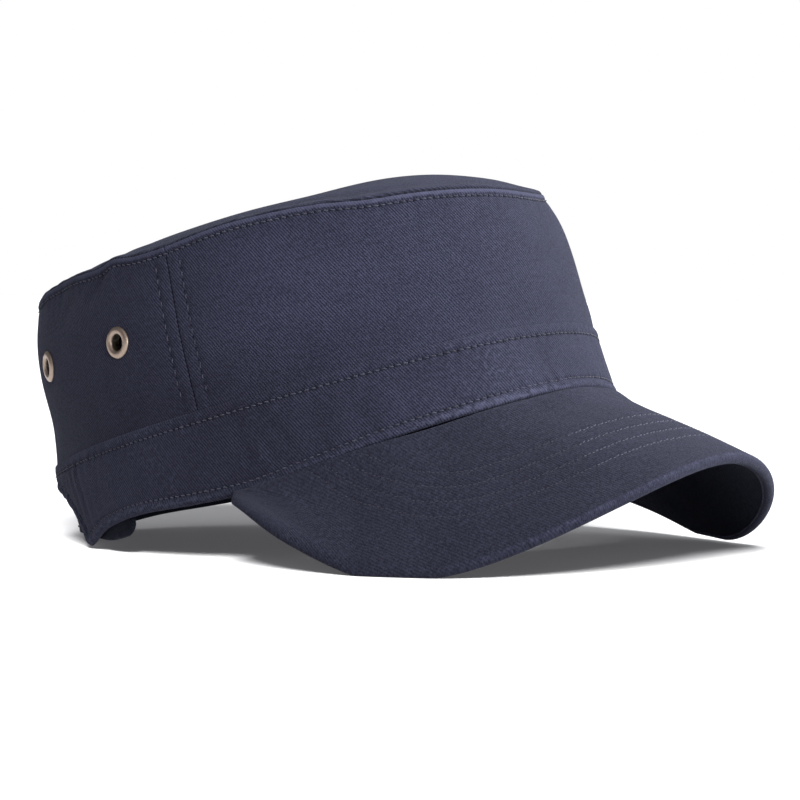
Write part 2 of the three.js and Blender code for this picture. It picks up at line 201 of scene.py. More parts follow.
def seam_height(angle, reach=1.0):
    """Height of the top seam; reach is 1 on the seam and 0 at the centre of the top."""
    c, s = cos_sin(angle)
    front = np.maximum(0, (-s * reach - SEAM_DROP_START) / (1 - SEAM_DROP_START))
    back = np.maximum(0, s * reach)
    slope = SEAM_SIDE_LEAN * c * reach + SEAM_BACK_RISE * back**4 - SEAM_FRONT_DROP * front**2
    kinks = sum(size * near(angle, at, spread) for at, spread, size in SEAM_KINKS)
    return SEAM_HEIGHT + slope + kinks * reach**12


def outward(angle):
    """Level direction away from the head opening."""
    c, s = cos_sin(angle)
    return unit(np.stack([c / FOOT_HALF_WIDTH, s / FOOT_HALF_LENGTH, 0 * c], -1))


def rise_of_height(angle, height):
    foot = foot_height(angle)
    return (height - foot) / (seam_height(angle) - foot)


def dent_depth(angle, rise):
    """How far the dents press the wall in."""
    depth = 0 * angle * rise
    for at, up, spread, up_spread, size in DENTS:
        depth = depth + size * near(angle, at, spread) * bump((rise - up) / up_spread)
    return depth


def wall_point(angle, rise, inset):
    """A point of the side wall: rise runs from 0 at the foot to 1 at the top seam, and
    inset is measured inward from the outside of the band."""
    angle, rise, inset = np.broadcast_arrays(np.asarray(angle, float), rise, inset)
    c, s = cos_sin(angle)
    foot = np.stack([FOOT_HALF_WIDTH * c, FOOT_BACK_SHIFT + FOOT_HALF_LENGTH * s, foot_height(angle)], -1)
    seam = np.stack([SEAM_HALF_WIDTH * c, SEAM_BACK_SHIFT + SEAM_HALF_LENGTH * s, seam_height(angle)], -1)
    shift = -inset - dent_depth(angle, rise)
    return foot + (seam - foot) * rise[..., None] + outward(angle) * shift[..., None]


def band_top(angle):
    s = cos_sin(angle)[1]
    return mix(BAND_TOP_SIDE, np.where(s < 0, BAND_TOP_FRONT, BAND_TOP_BACK), s * s)


def strap_top(angle):
    return height_at(STRAP_EDGE, angle) + STRAP_HEIGHT


def from_back(angle):
    """Degrees from the middle of the back."""
    return np.abs(np.mod(angle, 360) - 90)


def band_bottom(angle):
    """The band's lower edge, which lifts over the strap in an arched opening at the back."""
    width = BACK_OPENING_FOOT_ANGLE - BACK_OPENING_TOP_ANGLE
    beyond_top = np.clip((from_back(angle) - BACK_OPENING_TOP_ANGLE) / width, 0, 1)
    arch = np.sqrt(1 - beyond_top**2)
    past_corner = np.clip((from_back(angle) - BACK_OPENING_FOOT_ANGLE) / CORNER_WIDTH, 0, 1)
    corner = CORNER_RADIUS * (1 - np.sqrt(1 - (1 - past_corner) ** 2))
    arched = mix(foot_height(angle), strap_top(angle) + BACK_OPENING_GAP, arch)
    return np.maximum(arched, foot_height(angle) + corner)


def ledge_rise(angle):
    """How far up the wall the crown comes out above the band."""
    return rise_of_height(angle, band_top(angle)) + 0.012


def crown_point(angle, rise, depth):
    """The crown stands behind the band and swells out close above it."""
    ledge = ledge_rise(angle)
    behind_band = CROWN_INSET - (CROWN_INSET - 0.5) * ease(rise, ledge - 0.036, ledge - 0.011)
    behind_band = behind_band - 0.5 * ease(rise, ledge - 0.01, ledge + 0.1)
    swell = WALL_SWELL * ease(rise, ledge, 0.7) * np.sin(np.pi * rise)
    return wall_point(angle, rise, behind_band - swell + depth)


def tilted(point):
    """The upright cap tilts forward as it comes to rest."""
    c, s = cos_sin(REST_TILT)
    x, y, z = point[..., 0], point[..., 1], point[..., 2]
    return np.stack([x, y * c + z * s, -y * s + z * c + REST_RAISE], -1)


def on_surface(point):
    """Brings the cap to the middle, with nothing below the surface that it rests on."""
    x, y, z = point[..., 0], point[..., 1], point[..., 2]
    return np.stack([x, y + CENTRE_SHIFT, np.maximum(0, z)], -1)


def at_rest(point):
    return on_surface(tilted(point))


# Lengths round the wall, for stitches, folds and the weave

ROUND_ANGLES = np.linspace(0, 360, 1441)
ROUND_LENGTHS = run_along(wall_point(ROUND_ANGLES, 0.5, 0.0)[:, :2])
GIRTH = ROUND_LENGTHS[-1]


def length_at(angle):
    """Millimetres round the wall from the wearer's left."""
    return np.interp(np.mod(angle, 360), ROUND_ANGLES, ROUND_LENGTHS) + GIRTH * np.floor(angle / 360)


def angle_at(length):
    return np.interp(np.mod(length, GIRTH), ROUND_LENGTHS, ROUND_ANGLES) + 360 * np.floor(length / GIRTH)


# Soft uneven shapes in the cloth


def waves(share, fewest, most, seed):
    """Uneven waves, about -1 to 1, that close up after a share of 1."""
    random = np.random.default_rng(seed)
    total = 0 * share
    for _ in range(7):
        count = random.integers(fewest, most + 1)
        total = total + np.cos(2 * np.pi * (count * share + random.uniform()))
    return total / 2.6


def cloth_waves(share, up, fewest, most, lean, seed):
    """Uneven waves over a sheet, with crests that lean by up to so many waves per unit up."""
    random = np.random.default_rng(seed)
    total = 0 * share * up
    for _ in range(9):
        count = random.integers(fewest, most + 1)
        tilt = random.uniform(-lean, lean)
        total = total + np.cos(2 * np.pi * (count * share + tilt * up + random.uniform()))
    return total / 3


def stitched(share, off, stitches, seed, depth=0.35, pucker=0.12):
    """Relief of cloth beside a row of stitches; off is the distance from the row."""
    groove = -depth * bump(off / 0.75) * (1 + 0.45 * np.cos(2 * np.pi * stitches * share))
    fewest = int(stitches * 0.25)
    most = int(stitches * 0.55)
    puckers = pucker * waves(share + off * 0.0006, fewest, most, seed) * np.exp(-np.abs(off) / 3.5)
    return groove + puckers


def crease(x, y, start, end, width, depth):
    """Relief of one soft fold between two places, tapering to both ends."""
    along = np.array(end, float) - np.array(start, float)
    size = np.hypot(*along)
    t = ((x - start[0]) * along[0] + (y - start[1]) * along[1]) / size**2
    off = ((x - start[0]) * along[1] - (y - start[1]) * along[0]) / size
    fade = np.sin(np.pi * np.clip(t, 0, 1)) ** 0.7
    return -depth * fade * bump(off / width) + 0.6 * depth * fade * bump((off - 1.7 * width) / width)


# Building meshes

# Turns round the fold of a hem at which it has its rows of points
FOLD_TURNS = np.radians([6, 20, 36, 53, 71, 90])


def rounded(length, step, radius):
    """Distances across a strip of cloth, close together at its two rounded edges, and how
    full its thickness is at each, from 0 to 1."""
    edge = radius * (1 - np.cos(FOLD_TURNS))
    full = np.sin(FOLD_TURNS)
    inner = np.linspace(edge[-1], length - edge[-1], max(3, int(length / step)))[1:-1]
    distances = np.concatenate([edge, inner, length - edge[::-1]])
    return distances, np.concatenate([full, np.ones(len(inner)), full[::-1]])


def sheet_faces(columns, rows, ring, kept):
    """Faces of a closed sheet with an outer and an inner side, and the place in its grid
    that each corner takes its weave from."""
    index = np.arange(columns * rows).reshape(columns, rows)
    place = index
    if ring:
        index = np.vstack([index[:-1], index[:1]])
    inner = columns * rows

    def corners(grid):
        return np.stack([grid[:-1, :-1], grid[1:, :-1], grid[1:, 1:], grid[:-1, 1:]], -1)

    cells = corners(index)
    places = corners(place)
    solid = np.pad(kept, 1)
    if ring:
        solid[0] = solid[-2]
        solid[-1] = solid[1]
    centre = solid[1:-1, 1:-1]
    beside = [solid[1:-1, :-2], solid[2:, 1:-1], solid[1:-1, 2:], solid[:-2, 1:-1]]
    faces = [cells[kept], cells[kept][:, ::-1] + inner]
    sources = [places[kept], places[kept][:, ::-1]]
    for side, other in enumerate(beside):
        open_edge = centre & ~other
        a, b = cells[open_edge][:, side], cells[open_edge][:, (side + 1) % 4]
        faces.append(np.stack([b, a, a + inner, b + inner], -1))
        a, b = places[open_edge][:, side], places[open_edge][:, (side + 1) % 4]
        sources.append(np.stack([b, a, a, b], -1))
    return np.concatenate(faces), np.concatenate(sources)


def new_piece(name, points, faces, finish, nodes=(), weave=None, relief=None, tone=None):
    """A mesh from points in millimetres and four-cornered faces. The cloth's colour takes
    the painted shade of its folds and its worn ridges from relief, and its paler and darker
    parts, partly painted light and shade, from tone."""
    used, faces = np.unique(faces, return_inverse=True)
    faces = faces.reshape(-1, 4)
    points = points[used]
    a, b, c, d = (points[faces[:, i]] for i in range(4))
    volume = np.einsum("ij,ij->", a, np.cross(b, c) + np.cross(c, d))
    mesh = bpy.data.meshes.new(name)
    if volume < 0:
        faces = faces[:, ::-1]
        weave = None if weave is None else weave[:, ::-1]
    mesh.vertices.add(len(points))
    mesh.vertices.foreach_set("co", (points * MILLIMETRE).astype(np.float32).ravel())
    mesh.loops.add(faces.size)
    mesh.loops.foreach_set("vertex_index", faces.astype(np.int32).ravel())
    mesh.polygons.add(len(faces))
    mesh.polygons.foreach_set("loop_start", np.arange(0, faces.size, 4, dtype=np.int32))
    mesh.polygons.foreach_set("use_smooth", np.ones(len(faces), bool))
    if weave is not None:
        layer = mesh.uv_layers.new(name="cloth")
        layer.uv.foreach_set("vector", weave.reshape(-1, 2).astype(np.float32).ravel())
    for title, values in (("relief", relief), ("tone", tone)):
        if values is not None:
            attribute = mesh.attributes.new(title, "FLOAT", "POINT")
            attribute.data.foreach_set("value", values[used].astype(np.float32))
    mesh.update(calc_edges=True)
    mesh.validate()
    mesh.materials.append(finish)
    piece = bpy.data.objects.new(name, mesh)
    bpy.context.scene.collection.objects.link(piece)
    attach(piece, "root")
    if nodes:
        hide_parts(*nodes)
    return piece


def new_sheet(name, outer, inner, weave, relief, finish, nodes, ring=False, kept=None, tone=None):
    """A sheet of cloth between two grids of points, one column after another."""
    columns, rows = outer.shape[:2]
    if kept is None:
        kept = np.ones((columns - 1, rows - 1), bool)
    faces, sources = sheet_faces(columns, rows, ring, kept)
    points = np.concatenate([outer.reshape(-1, 3), inner.reshape(-1, 3)])
    reliefs = np.concatenate([relief.ravel(), 0 * relief.ravel()])
    threads = weave.reshape(-1, 2)[sources]
    if tone is not None:
        tone = np.concatenate([tone.ravel(), 0 * tone.ravel()])
    return new_piece(name, points, faces, finish, nodes, threads, reliefs, tone)


def ring_of(sides):
    """Turns round a full circle, evenly apart."""
    return 2 * np.pi * np.arange(sides) / sides


def ring_faces(grid):
    """Faces between rings of points, each of which closes on itself."""
    ahead = np.roll(grid, -1, axis=1)
    return np.stack([grid[:-1], grid[1:], ahead[1:], ahead[:-1]], -1)


def tubes(points):
    """Points and faces of closed tubes, from the rings of points that each one has."""
    rings, sides = points.shape[1:3]
    grid = np.arange(rings * sides).reshape(rings, sides)
    tube = ring_faces(grid).reshape(-1, 4)
    fan = np.array([[0, k, k + 1, k + 2] for k in range(1, sides - 2, 2)])
    one = np.concatenate([tube, grid[0][fan], grid[-1][fan[:, ::-1]]])
    faces = one[None] + (grid.size * np.arange(len(points)))[:, None, None]
    return points.reshape(-1, 3), faces.reshape(-1, 4)


# Materials


class Nodes:
    """Short names for the nodes of a material or of the sky."""

    def __init__(self, owner):
        owner.use_nodes = True
        self.tree = owner.node_tree

    def add(self, kind, **settings):
        node = self.tree.nodes.new("ShaderNode" + kind)
        for name, value in settings.items():
            setattr(node, name, value)
        return node

    def put(self, socket, value):
        """Links a socket to another one, or sets it to a constant."""
        if isinstance(value, bpy.types.NodeSocket):
            self.tree.links.new(value, socket)
        else:
            socket.default_value = value

    def fill(self, node, **inputs):
        for name, value in inputs.items():
            self.put(node.inputs[name.replace("_", " ")], value)
        return node

    def surface(self, **inputs):
        self.fill(self.tree.nodes["Principled BSDF"], **inputs)

    def math(self, operation, *values):
        node = self.add("Math", operation=operation)
        for socket, value in zip(node.inputs, values):
            self.put(socket, value)
        return node.outputs[0]

    def weighted(self, *terms):
        """The sum of values times their weights."""
        parts = [value if weight == 1 else self.math("MULTIPLY", value, weight) for value, weight in terms]
        total = parts[0]
        for part in parts[1:]:
            total = self.math("ADD", total, part)
        return total

    def wave(self, value, pitch):
        return self.math("SINE", self.math("MULTIPLY", value, 2 * np.pi / pitch))

    def blend(self, share, low, high, kind="MIX"):
        node = self.add("Mix", data_type="RGBA", blend_type=kind)
        self.put(node.inputs["Factor"], share)
        colours = [socket for socket in node.inputs if socket.type == "RGBA"]
        self.put(colours[0], low)
        self.put(colours[1], high)
        return [socket for socket in node.outputs if socket.type == "RGBA"][0]

    def range(self, value, low, high, to_low=0.0, to_high=1.0, kind="SMOOTHSTEP"):
        node = self.add("MapRange", interpolation_type=kind)
        for socket, number in zip(node.inputs, (value, low, high, to_low, to_high)):
            self.put(socket, number)
        return node.outputs["Result"]

    def noise(self, place, scale, detail=2.0, roughness=0.5):
        node = self.add("TexNoise")
        return self.fill(node, Vector=place, Scale=scale, Detail=detail, Roughness=roughness).outputs[0]

    def bumped(self, height, strength, metres):
        """The direction in which a surface faces once it is raised by height."""
        return self.fill(self.add("Bump"), Strength=strength, Distance=metres, Height=height).outputs[0]

    def attribute(self, name):
        return self.add("Attribute", attribute_name=name).outputs["Fac"]

    def place(self):
        return self.add("TexCoord").outputs["Object"]


def colour(red, green, blue):
    return (red, green, blue, 1.0)


def new_material(name):
    material = bpy.data.materials.new(name)
    return material, Nodes(material)


# Millimetres between the wales and between the yarns, and how steeply the wales climb
WALE_PITCH = 0.83
YARN_PITCH = 0.55
WALE_SLOPE = 1.7
WALE_LENGTH = np.hypot(WALE_SLOPE, 1)


def twill_material(name, dark, light, wear_and_shading, sheen, wale_depth=1.0, gloss=0.2):
    """Cotton twill: slanted wales broken up by yarns, with lint, mottling, painted shade in its
    folds and grooves, paler worn ridges, and tone that is partly painted light and shade."""
    material, n = new_material(name)
    threads = n.add("UVMap", uv_map="cloth").outputs["UV"]
    u, v = n.fill(n.add("SeparateXYZ"), Vector=threads).outputs[:2]

    drift = n.noise(threads, 0.35, 3.0)
    wale = n.wave(n.weighted((u, WALE_SLOPE), (v, 1), (drift, 1)), WALE_PITCH * WALE_LENGTH)
    yarn = n.wave(n.weighted((u, 1), (v, -WALE_SLOPE)), YARN_PITCH * WALE_LENGTH)
    plain_ridge = n.range(wale, -0.9, 0.8)
    knots = n.math("MULTIPLY", n.range(yarn, -1.0, 0.6), plain_ridge)
    patch = n.range(n.noise(threads, 0.09, 3.0, 0.6), 0.25, 0.75, 0.7, 1.1)
    ridge = n.math("MULTIPLY", plain_ridge, patch)
    fuzz = n.range(n.noise(threads, 1.9, 4.0, 0.75), 0.32, 0.68)
    slub = n.range(n.noise(threads, 0.75, 4.0, 0.7), 0.34, 0.66)
    mottle = n.range(n.noise(n.place(), 38.0, 4.0, 0.6), 0.3, 0.7)
    lint = n.range(n.noise(threads, 2.1, 2.0, 0.9), 0.7, 0.78)

    height = n.weighted((ridge, 0.55 * wale_depth), (knots, 0.22 * wale_depth), (fuzz, 0.4), (slub, 0.3))
    shade = n.weighted((ridge, 0.4 * wale_depth), (fuzz, 0.26), (mottle, 0.05), (slub, 0.22))
    cloth = n.blend(n.range(shade, 0.12 * wale_depth, 0.72 + 0.25 * wale_depth), dark, light)
    relief = n.attribute("relief")
    # Paler on worn ridges; on the peak's rim this is partly a painted highlight
    wear_and_highlight = n.range(n.weighted((slub, 0.5), (relief, 1)), 0.45, 1.15)
    cloth = n.blend(n.math("MULTIPLY", wear_and_highlight, 0.5), cloth, wear_and_shading)
    # Painted shade: darker where the relief sinks, in folds, stitch grooves and at the cloth's edges
    cloth = n.blend(1.0, cloth, n.range(relief, -0.05, -0.75, 1.0, 0.5), "MULTIPLY")
    # Paler and darker parts from tone, partly painted light and shade
    cloth = n.blend(1.0, cloth, n.math("ADD", n.attribute("tone"), 1.0), "MULTIPLY")
    cloth = n.blend(n.math("MULTIPLY", lint, 0.45), cloth, wear_and_shading)
    n.surface(
        Base_Color=cloth,
        Roughness=n.range(fuzz, 0.2, 0.8, 0.98, 0.8),
        Specular_IOR_Level=gloss,
        Sheen_Weight=sheen,
        Sheen_Roughness=0.45,
        Sheen_Tint=colour(0.62, 0.68, 0.9),
        Normal=n.bumped(height, 0.8, 0.00022),
    )
    return material


def thread_material(name, dark, light):
    """Spun thread with twisted strands."""
    material, n = new_material(name)
    fibre = n.noise(n.place(), 2600.0, 2.0, 0.7)
    tone = n.noise(n.place(), 140.0, 2.0, 0.6)
    n.surface(
        Base_Color=n.blend(n.range(n.math("ADD", fibre, tone), 0.7, 1.3), dark, light),
        Roughness=n.range(fibre, 0.2, 0.8, 0.6, 0.9),
        Sheen_Weight=0.3,
        Normal=n.bumped(fibre, 0.6, 0.0001),
    )
    return material


def brass_material():
    """Antique metal, rubbed pale on its raised rim and tarnished in its hollows."""
    material, n = new_material("antique_metal")
    tarnish = n.noise(n.place(), 420.0, 4.0, 0.65)
    rubbed = n.range(n.weighted((n.attribute("relief"), 1), (tarnish, 0.6)), 0.35, 1.1)
    n.surface(
        Base_Color=n.blend(rubbed, colour(0.08, 0.06, 0.046), colour(0.3, 0.232, 0.192)),
        Metallic=n.range(rubbed, 0.0, 1.0, 0.7, 0.95),
        Roughness=n.range(tarnish, 0.3, 0.7, 0.5, 0.34),
        Normal=n.bumped(tarnish, 0.35, 0.0001),
    )
    return material


NAVY_WORN = colour(0.13, 0.136, 0.23)
SHEEN = 0.12
twill = twill_material(
    "navy_twill", colour(0.0188, 0.0197, 0.0365), colour(0.0775, 0.0805, 0.143), NAVY_WORN, SHEEN
)
# The peak's twill has shallower wales, and darker colours as painted shade
peak_twill = twill_material(
    "navy_twill_peak", colour(0.0152, 0.0158, 0.0288), colour(0.0585, 0.061, 0.106), NAVY_WORN, SHEEN,
    wale_depth=0.34,
)
# A darker copy of the twill as painted shade, for the strap, the peak's underside and the needle holes
shaded_twill = twill_material(
    "shaded_navy_twill", colour(0.009, 0.0105, 0.0185), colour(0.026, 0.0285, 0.048),
    colour(0.042, 0.044, 0.07), 0.03, gloss=0.1,
)
thread = thread_material("navy_thread", colour(0.03, 0.031, 0.054), colour(0.085, 0.088, 0.146))
# Darker and paler copies of the navy thread, as painted shade and painted light on the peak's stitches
shaded_thread = thread_material("shaded_thread", colour(0.019, 0.02, 0.035), colour(0.052, 0.054, 0.092))
lit_thread = thread_material("lit_thread", colour(0.06, 0.062, 0.1), colour(0.14, 0.145, 0.225))
brass = brass_material()


# Stitches

STITCH_LENGTH = 1.65
STITCH_SLANT = -0.16
STITCH_RINGS = np.array([-1, -0.86, -0.5, 0, 0.5, 0.86, 1])
STITCH_TURNS = ring_of(6)
THREAD_RADIUS = 0.2

# Stitches farther apart than this have no needle hole between them
HOLE_LIMIT = 5

# Half of the section of a needle hole's shadowed dip: half-width, height over the cloth
HOLE_SECTION = [(0.16, -0.3), (0.32, -0.1), (0.34, 0.03), (0.2, 0.09)]
HOLE_STRETCH = 1.35


def times(vectors, amounts):
    """Each of a row of vectors times each of a grid of amounts."""
    return vectors[:, None, None] * amounts[..., None]


def stitch_bodies(at, along, up, length, radius):
    """Short threads lying at places, with both ends dipping in."""
    ring = STITCH_RINGS[:, None]
    heights = 0.12 - 0.36 * np.abs(ring) ** 3
    radii = radius * np.maximum(0.35, 1 - 0.65 * np.abs(ring) ** 5)
    return tubes(
        at[:, None, None]
        + times(along, 0.5 * length[:, None, None] * ring)
        + times(np.cross(along, up), radii * np.cos(STITCH_TURNS))
        + times(up, heights + radii * np.sin(STITCH_TURNS))
    )


def hole_bodies(at, along, up):
    """Small dips between stitches, dark with painted shade."""
    radii, heights = np.array(HOLE_SECTION).T[..., None]
    return tubes(
        at[:, None, None]
        + times(along, HOLE_STRETCH * radii * np.cos(STITCH_TURNS))
        + times(np.cross(along, up), radii * np.sin(STITCH_TURNS))
        + times(up, heights)
    )


class Gathered:
    """Small bodies gathered into one piece."""

    def __init__(self):
        self.points = []
        self.faces = []
        self.count = 0

    def add(self, points, faces):
        self.points.append(np.stack([points[:, 0], points[:, 1], np.maximum(0, points[:, 2])], -1))
        self.faces.append(faces + self.count)
        self.count += len(points)

    def finish(self, name, finish):
        return new_piece(name, np.concatenate(self.points), np.concatenate(self.faces), finish)


class Seams:
    """Rows of stitches, and the needle holes between them."""

    def __init__(self, name, finish, length=STITCH_LENGTH, radius=THREAD_RADIUS):
        self.name = name
        self.finish_of_thread = finish
        self.length = length
        self.radius = radius
        self.threads = Gathered()
        self.holes = Gathered()

    def row(self, face, u, v, seed, holes=True):
        """A stitch at each place of a row on a surface, lying along the row."""
        random = np.random.default_rng(seed)
        path = face(u, v)
        along = unit(np.gradient(path, axis=0))
        side_u = face(u + 0.02, v) - face(u - 0.02, v)
        side_v = face(u, v + 0.004) - face(u, v - 0.004)
        up = unit(np.cross(side_u, side_v))
        yaw = STITCH_SLANT + random.normal(0, 0.05, len(u))[:, None]
        along = unit(along + yaw * np.cross(up, along))
        up = unit(up - along * (up * along).sum(-1, keepdims=True))
        lengths = self.length * random.normal(1, 0.06, len(u))
        self.threads.add(*stitch_bodies(path + 0.5 * self.radius * up, along, up, lengths, self.radius))
        if holes:
            close = np.linalg.norm(np.diff(path, axis=0), axis=-1) < HOLE_LIMIT
            middle = (0.5 * (path[1:] + path[:-1]))[close]
            self.holes.add(*hole_bodies(middle, along[1:][close], up[1:][close]))

    def finish(self):
        self.threads.finish(self.name, self.finish_of_thread)
        if self.holes.count:
            # The needle holes are dark with painted shade
            self.holes.finish(self.name + "_holes", shaded_twill)


def stitch_places(count):
    """Shares of a row at which its stitches lie."""
    return (np.arange(count) + 0.5) / count


def stitch_angles(count):
    """Angles at which the stitches of a row round the wall lie."""
    return angle_at(stitch_places(count) * GIRTH)


# Crown

TOP_ROW = 2.9
TOP_STITCHES = 240
SIDE_ROW = 5.0
SIDE_STITCHES = 28

# Share of the stitches of a side row that the wall's height takes up
SIDE_SHARE = 0.8

EYELET_HOLE = 2.65
EYELET_PRESS = 0.3
EYELET_PRESS_REACH = 6.5
CROWN_FOLD_RADIUS = 0.35
SEAM_GAP = 0.04

# About how high the wall is, for the folds
WALL_SPAN = 84

# Folds of the crown: angle and share of the wall's height at both ends, half-width, depth
FOLDS = [
    (168.5, 0.985, 160.0, 0.87, 1.9, 0.6),
    (165.0, 0.975, 154.0, 0.9, 1.6, 0.35),
    (158.0, 0.97, 149.0, 0.84, 2.2, 0.3),
    (172.5, 0.975, 171.0, 0.84, 2.0, 0.3),
    (226.0, 0.42, 241.0, 0.49, 2.4, 0.3),
    (233.0, 0.36, 246.0, 0.42, 2.0, 0.2),
    (266.0, 0.52, 292.0, 0.42, 4.5, 0.16),
    (196.0, 0.7, 216.0, 0.6, 3.5, 0.25),
]


def wall_size(angle):
    return seam_height(angle) - foot_height(angle)


def crown_relief(angle, rise):
    """How far the crown's cloth stands out from its smooth shape."""
    share = length_at(angle) / GIRTH
    down = (1 - rise) * wall_size(angle)
    above_band = (rise - ledge_rise(angle)) * wall_size(angle)
    relief = stitched(share, down - TOP_ROW, TOP_STITCHES, 11, 0.32)
    relief = relief + 0.3 * bump((down - 1.2) / 1.1)
    for seam in (RIGHT_SEAM_ANGLE, LEFT_SEAM_ANGLE):
        off = np.abs(length_at(angle) - length_at(seam))
        off = np.minimum(off, GIRTH - off)
        rows = stitched(SIDE_SHARE * rise, off - SIDE_ROW, SIDE_STITCHES, 23, 0.3)
        relief = relief + rows * ease(down, 3, 5)
        relief = relief + 0.15 * bump((off - 2.4) / 2.0) * ease(down, 2, 5)
    middle = ease(down, 2, 12) * ease(above_band, -2, 6)
    relief = relief + 0.12 * middle * cloth_waves(share, rise, 2, 9, 0.9, 5)
    relief = relief + 0.05 * middle * cloth_waves(share, rise, 10, 34, 2.5, 6)
    for from_angle, from_rise, to_angle, to_rise, width, depth in FOLDS:
        start = (length_at(from_angle), from_rise * WALL_SPAN)
        end = (length_at(to_angle), to_rise * WALL_SPAN)
        relief = relief + crease(length_at(angle), rise * WALL_SPAN, start, end, width, depth)
    return relief


def eyelet_distance(angle, rise):
    """Distance over the wall from the nearest eyelet."""
    height = foot_height(angle) + rise * wall_size(angle)
    return np.min([np.hypot(length_at(angle) - length_at(at), height - up) for _, at, up in EYELETS], 0)


def pressed_relief(angle, rise):
    """The crown's relief with the hollows that the eyelets press in."""
    pressed = EYELET_PRESS * bump(eyelet_distance(angle, rise) / EYELET_PRESS_REACH)
    return crown_relief(angle, rise) - pressed


def crown_face(angle, rise):
    return at_rest(crown_point(angle, rise, -pressed_relief(angle, rise)))


def crown_rows(angle):
    """Heights of the crown's rows of points, close together above the band and round the
    top row of stitches, and how full the cloth's thickness is at each."""
    fold = (CROWN_FOLD_RADIUS * (1 - np.cos(FOLD_TURNS)))[None]
    edge = band_top(angle)
    top = seam_height(angle) - 0.4
    stops = [CROWN_HEM + 0.4, edge - 2.0, edge + 1.2, top - 5.4, top - 0.4]
    rows = [CROWN_HEM + fold + 0 * angle]
    for low, high, count in zip(stops, stops[1:], (4, 9, 40, 16)):
        rows.append(mix(low, high, np.linspace(0, 1, count, endpoint=False)[None]))
    rows.append(top - fold[:, ::-1])
    heights = np.concatenate(rows, 1)
    full = np.ones(heights.shape[1])
    full[: len(FOLD_TURNS)] = np.sin(FOLD_TURNS)
    full[-len(FOLD_TURNS) :] = np.sin(FOLD_TURNS[::-1])
    return heights, full


def crown_panel(name, node, start, end, drilled):
    length = length_at(end) - length_at(start)
    across, end_full = rounded(length, 0.72, 0.4)
    angle = angle_at(length_at(start) + across)[:, None]
    heights, edge_full = crown_rows(angle)
    rise = rise_of_height(angle, heights)
    full = end_full[:, None] * edge_full[None]
    relief = crown_relief(angle, rise)
    out = (pressed_relief(angle, rise) if drilled else relief) * full
    outer = at_rest(crown_point(angle, rise, WALL / 2 * (1 - full) - out))
    inner = at_rest(crown_point(angle, rise, WALL / 2 * (1 + full) - 0.5 * out))
    kept = None
    if drilled:
        away = eyelet_distance(angle, rise)
        cells = 0.25 * (away[:-1, :-1] + away[1:, :-1] + away[1:, 1:] + away[:-1, 1:])
        kept = cells > EYELET_HOLE + 0.7
    weave = pairs(length_at(angle), heights)
    # Paler along the rolled top edge from wear; painted shade darkens the grooves and the rounded edges of
    # the cloth
    wear_and_shading = relief / 1.6 + bump(((1 - rise) * wall_size(angle) - 1.0) / 0.9) - 1.2 * (1 - full)
    # Paler on the upper right side, partly worn and partly painted light from above, and towards the front;
    # darker low down behind
    tone = 0.4 * near(angle, 206, 17) * bump((rise - 0.7) / 0.26)
    tone = tone - 0.27 * near(angle, 180, 36) * bump((rise - 0.3) / 0.17)
    tone = tone + 0.15 * near(angle, 238, 20) - 0.08 * near(angle, 278, 20)
    return new_sheet(name, outer, inner, weave, wear_and_shading, twill, [node], kept=kept, tone=tone)


crown_panel(
    "front_panel_cloth", "front_panel", RIGHT_SEAM_ANGLE + SEAM_GAP, LEFT_SEAM_ANGLE - SEAM_GAP, False
)
crown_panel(
    "back_panel_cloth", "back_panel", LEFT_SEAM_ANGLE - 360 + SEAM_GAP, RIGHT_SEAM_ANGLE - SEAM_GAP, True
)


# Top

TOP_RADIUS = 85
TOP_COLUMNS = 480


def top_swell(angle, reach):
    """The top is fuller towards the front and sinks a little in the middle."""
    x, y = (reach * part for part in cos_sin(angle))
    fuller = 1.6 * bump((x + 0.05) / 0.45) * bump((y + 0.8) / 0.16)
    return fuller - 2.1 * bump(x / 0.6) * bump((y + 0.2) / 0.32)


def top_relief(angle, reach):
    """Seam, puckers and soft folds of the top, with a few more by its right edge."""
    share = length_at(angle) / GIRTH
    inward = (1 - reach) * TOP_RADIUS
    relief = 0.2 * bump((inward - 2.0) / 2.2)
    relief = relief - 0.15 * bump((inward - 7.5) / 3)
    relief = relief + 0.14 * waves(share + 0.1 * reach, 30, 80, 31) * np.exp(-inward / 5)
    x, y = (reach * part for part in cos_sin(angle))
    relief = relief + 0.25 * ease(inward, 3, 20) * cloth_waves(0.5 * x, 0.5 * y, 1, 4, 4, 33)
    relief = relief + 0.5 * bump((inward - 12) / 6) * near(angle, 150, 30)
    relief = relief - 0.5 * bump((inward - 6) / 2.4) * near(angle, 226, 16)
    return relief + 0.4 * bump((inward - 10.5) / 2.6) * near(angle, 226, 18)


def top_point(angle, reach, depth):
    angle, reach, depth = np.broadcast_arrays(np.asarray(angle, float), reach, depth)
    edge = crown_point(angle, 1.0, -TOP_OVERHANG * reach)
    centre = np.array([0, SEAM_BACK_SHIFT, 0])
    point = centre + (edge - centre) * reach[..., None]
    point[..., 2] = seam_height(angle, reach) + TOP_DOME * (1 - reach**2.4) - depth
    return point


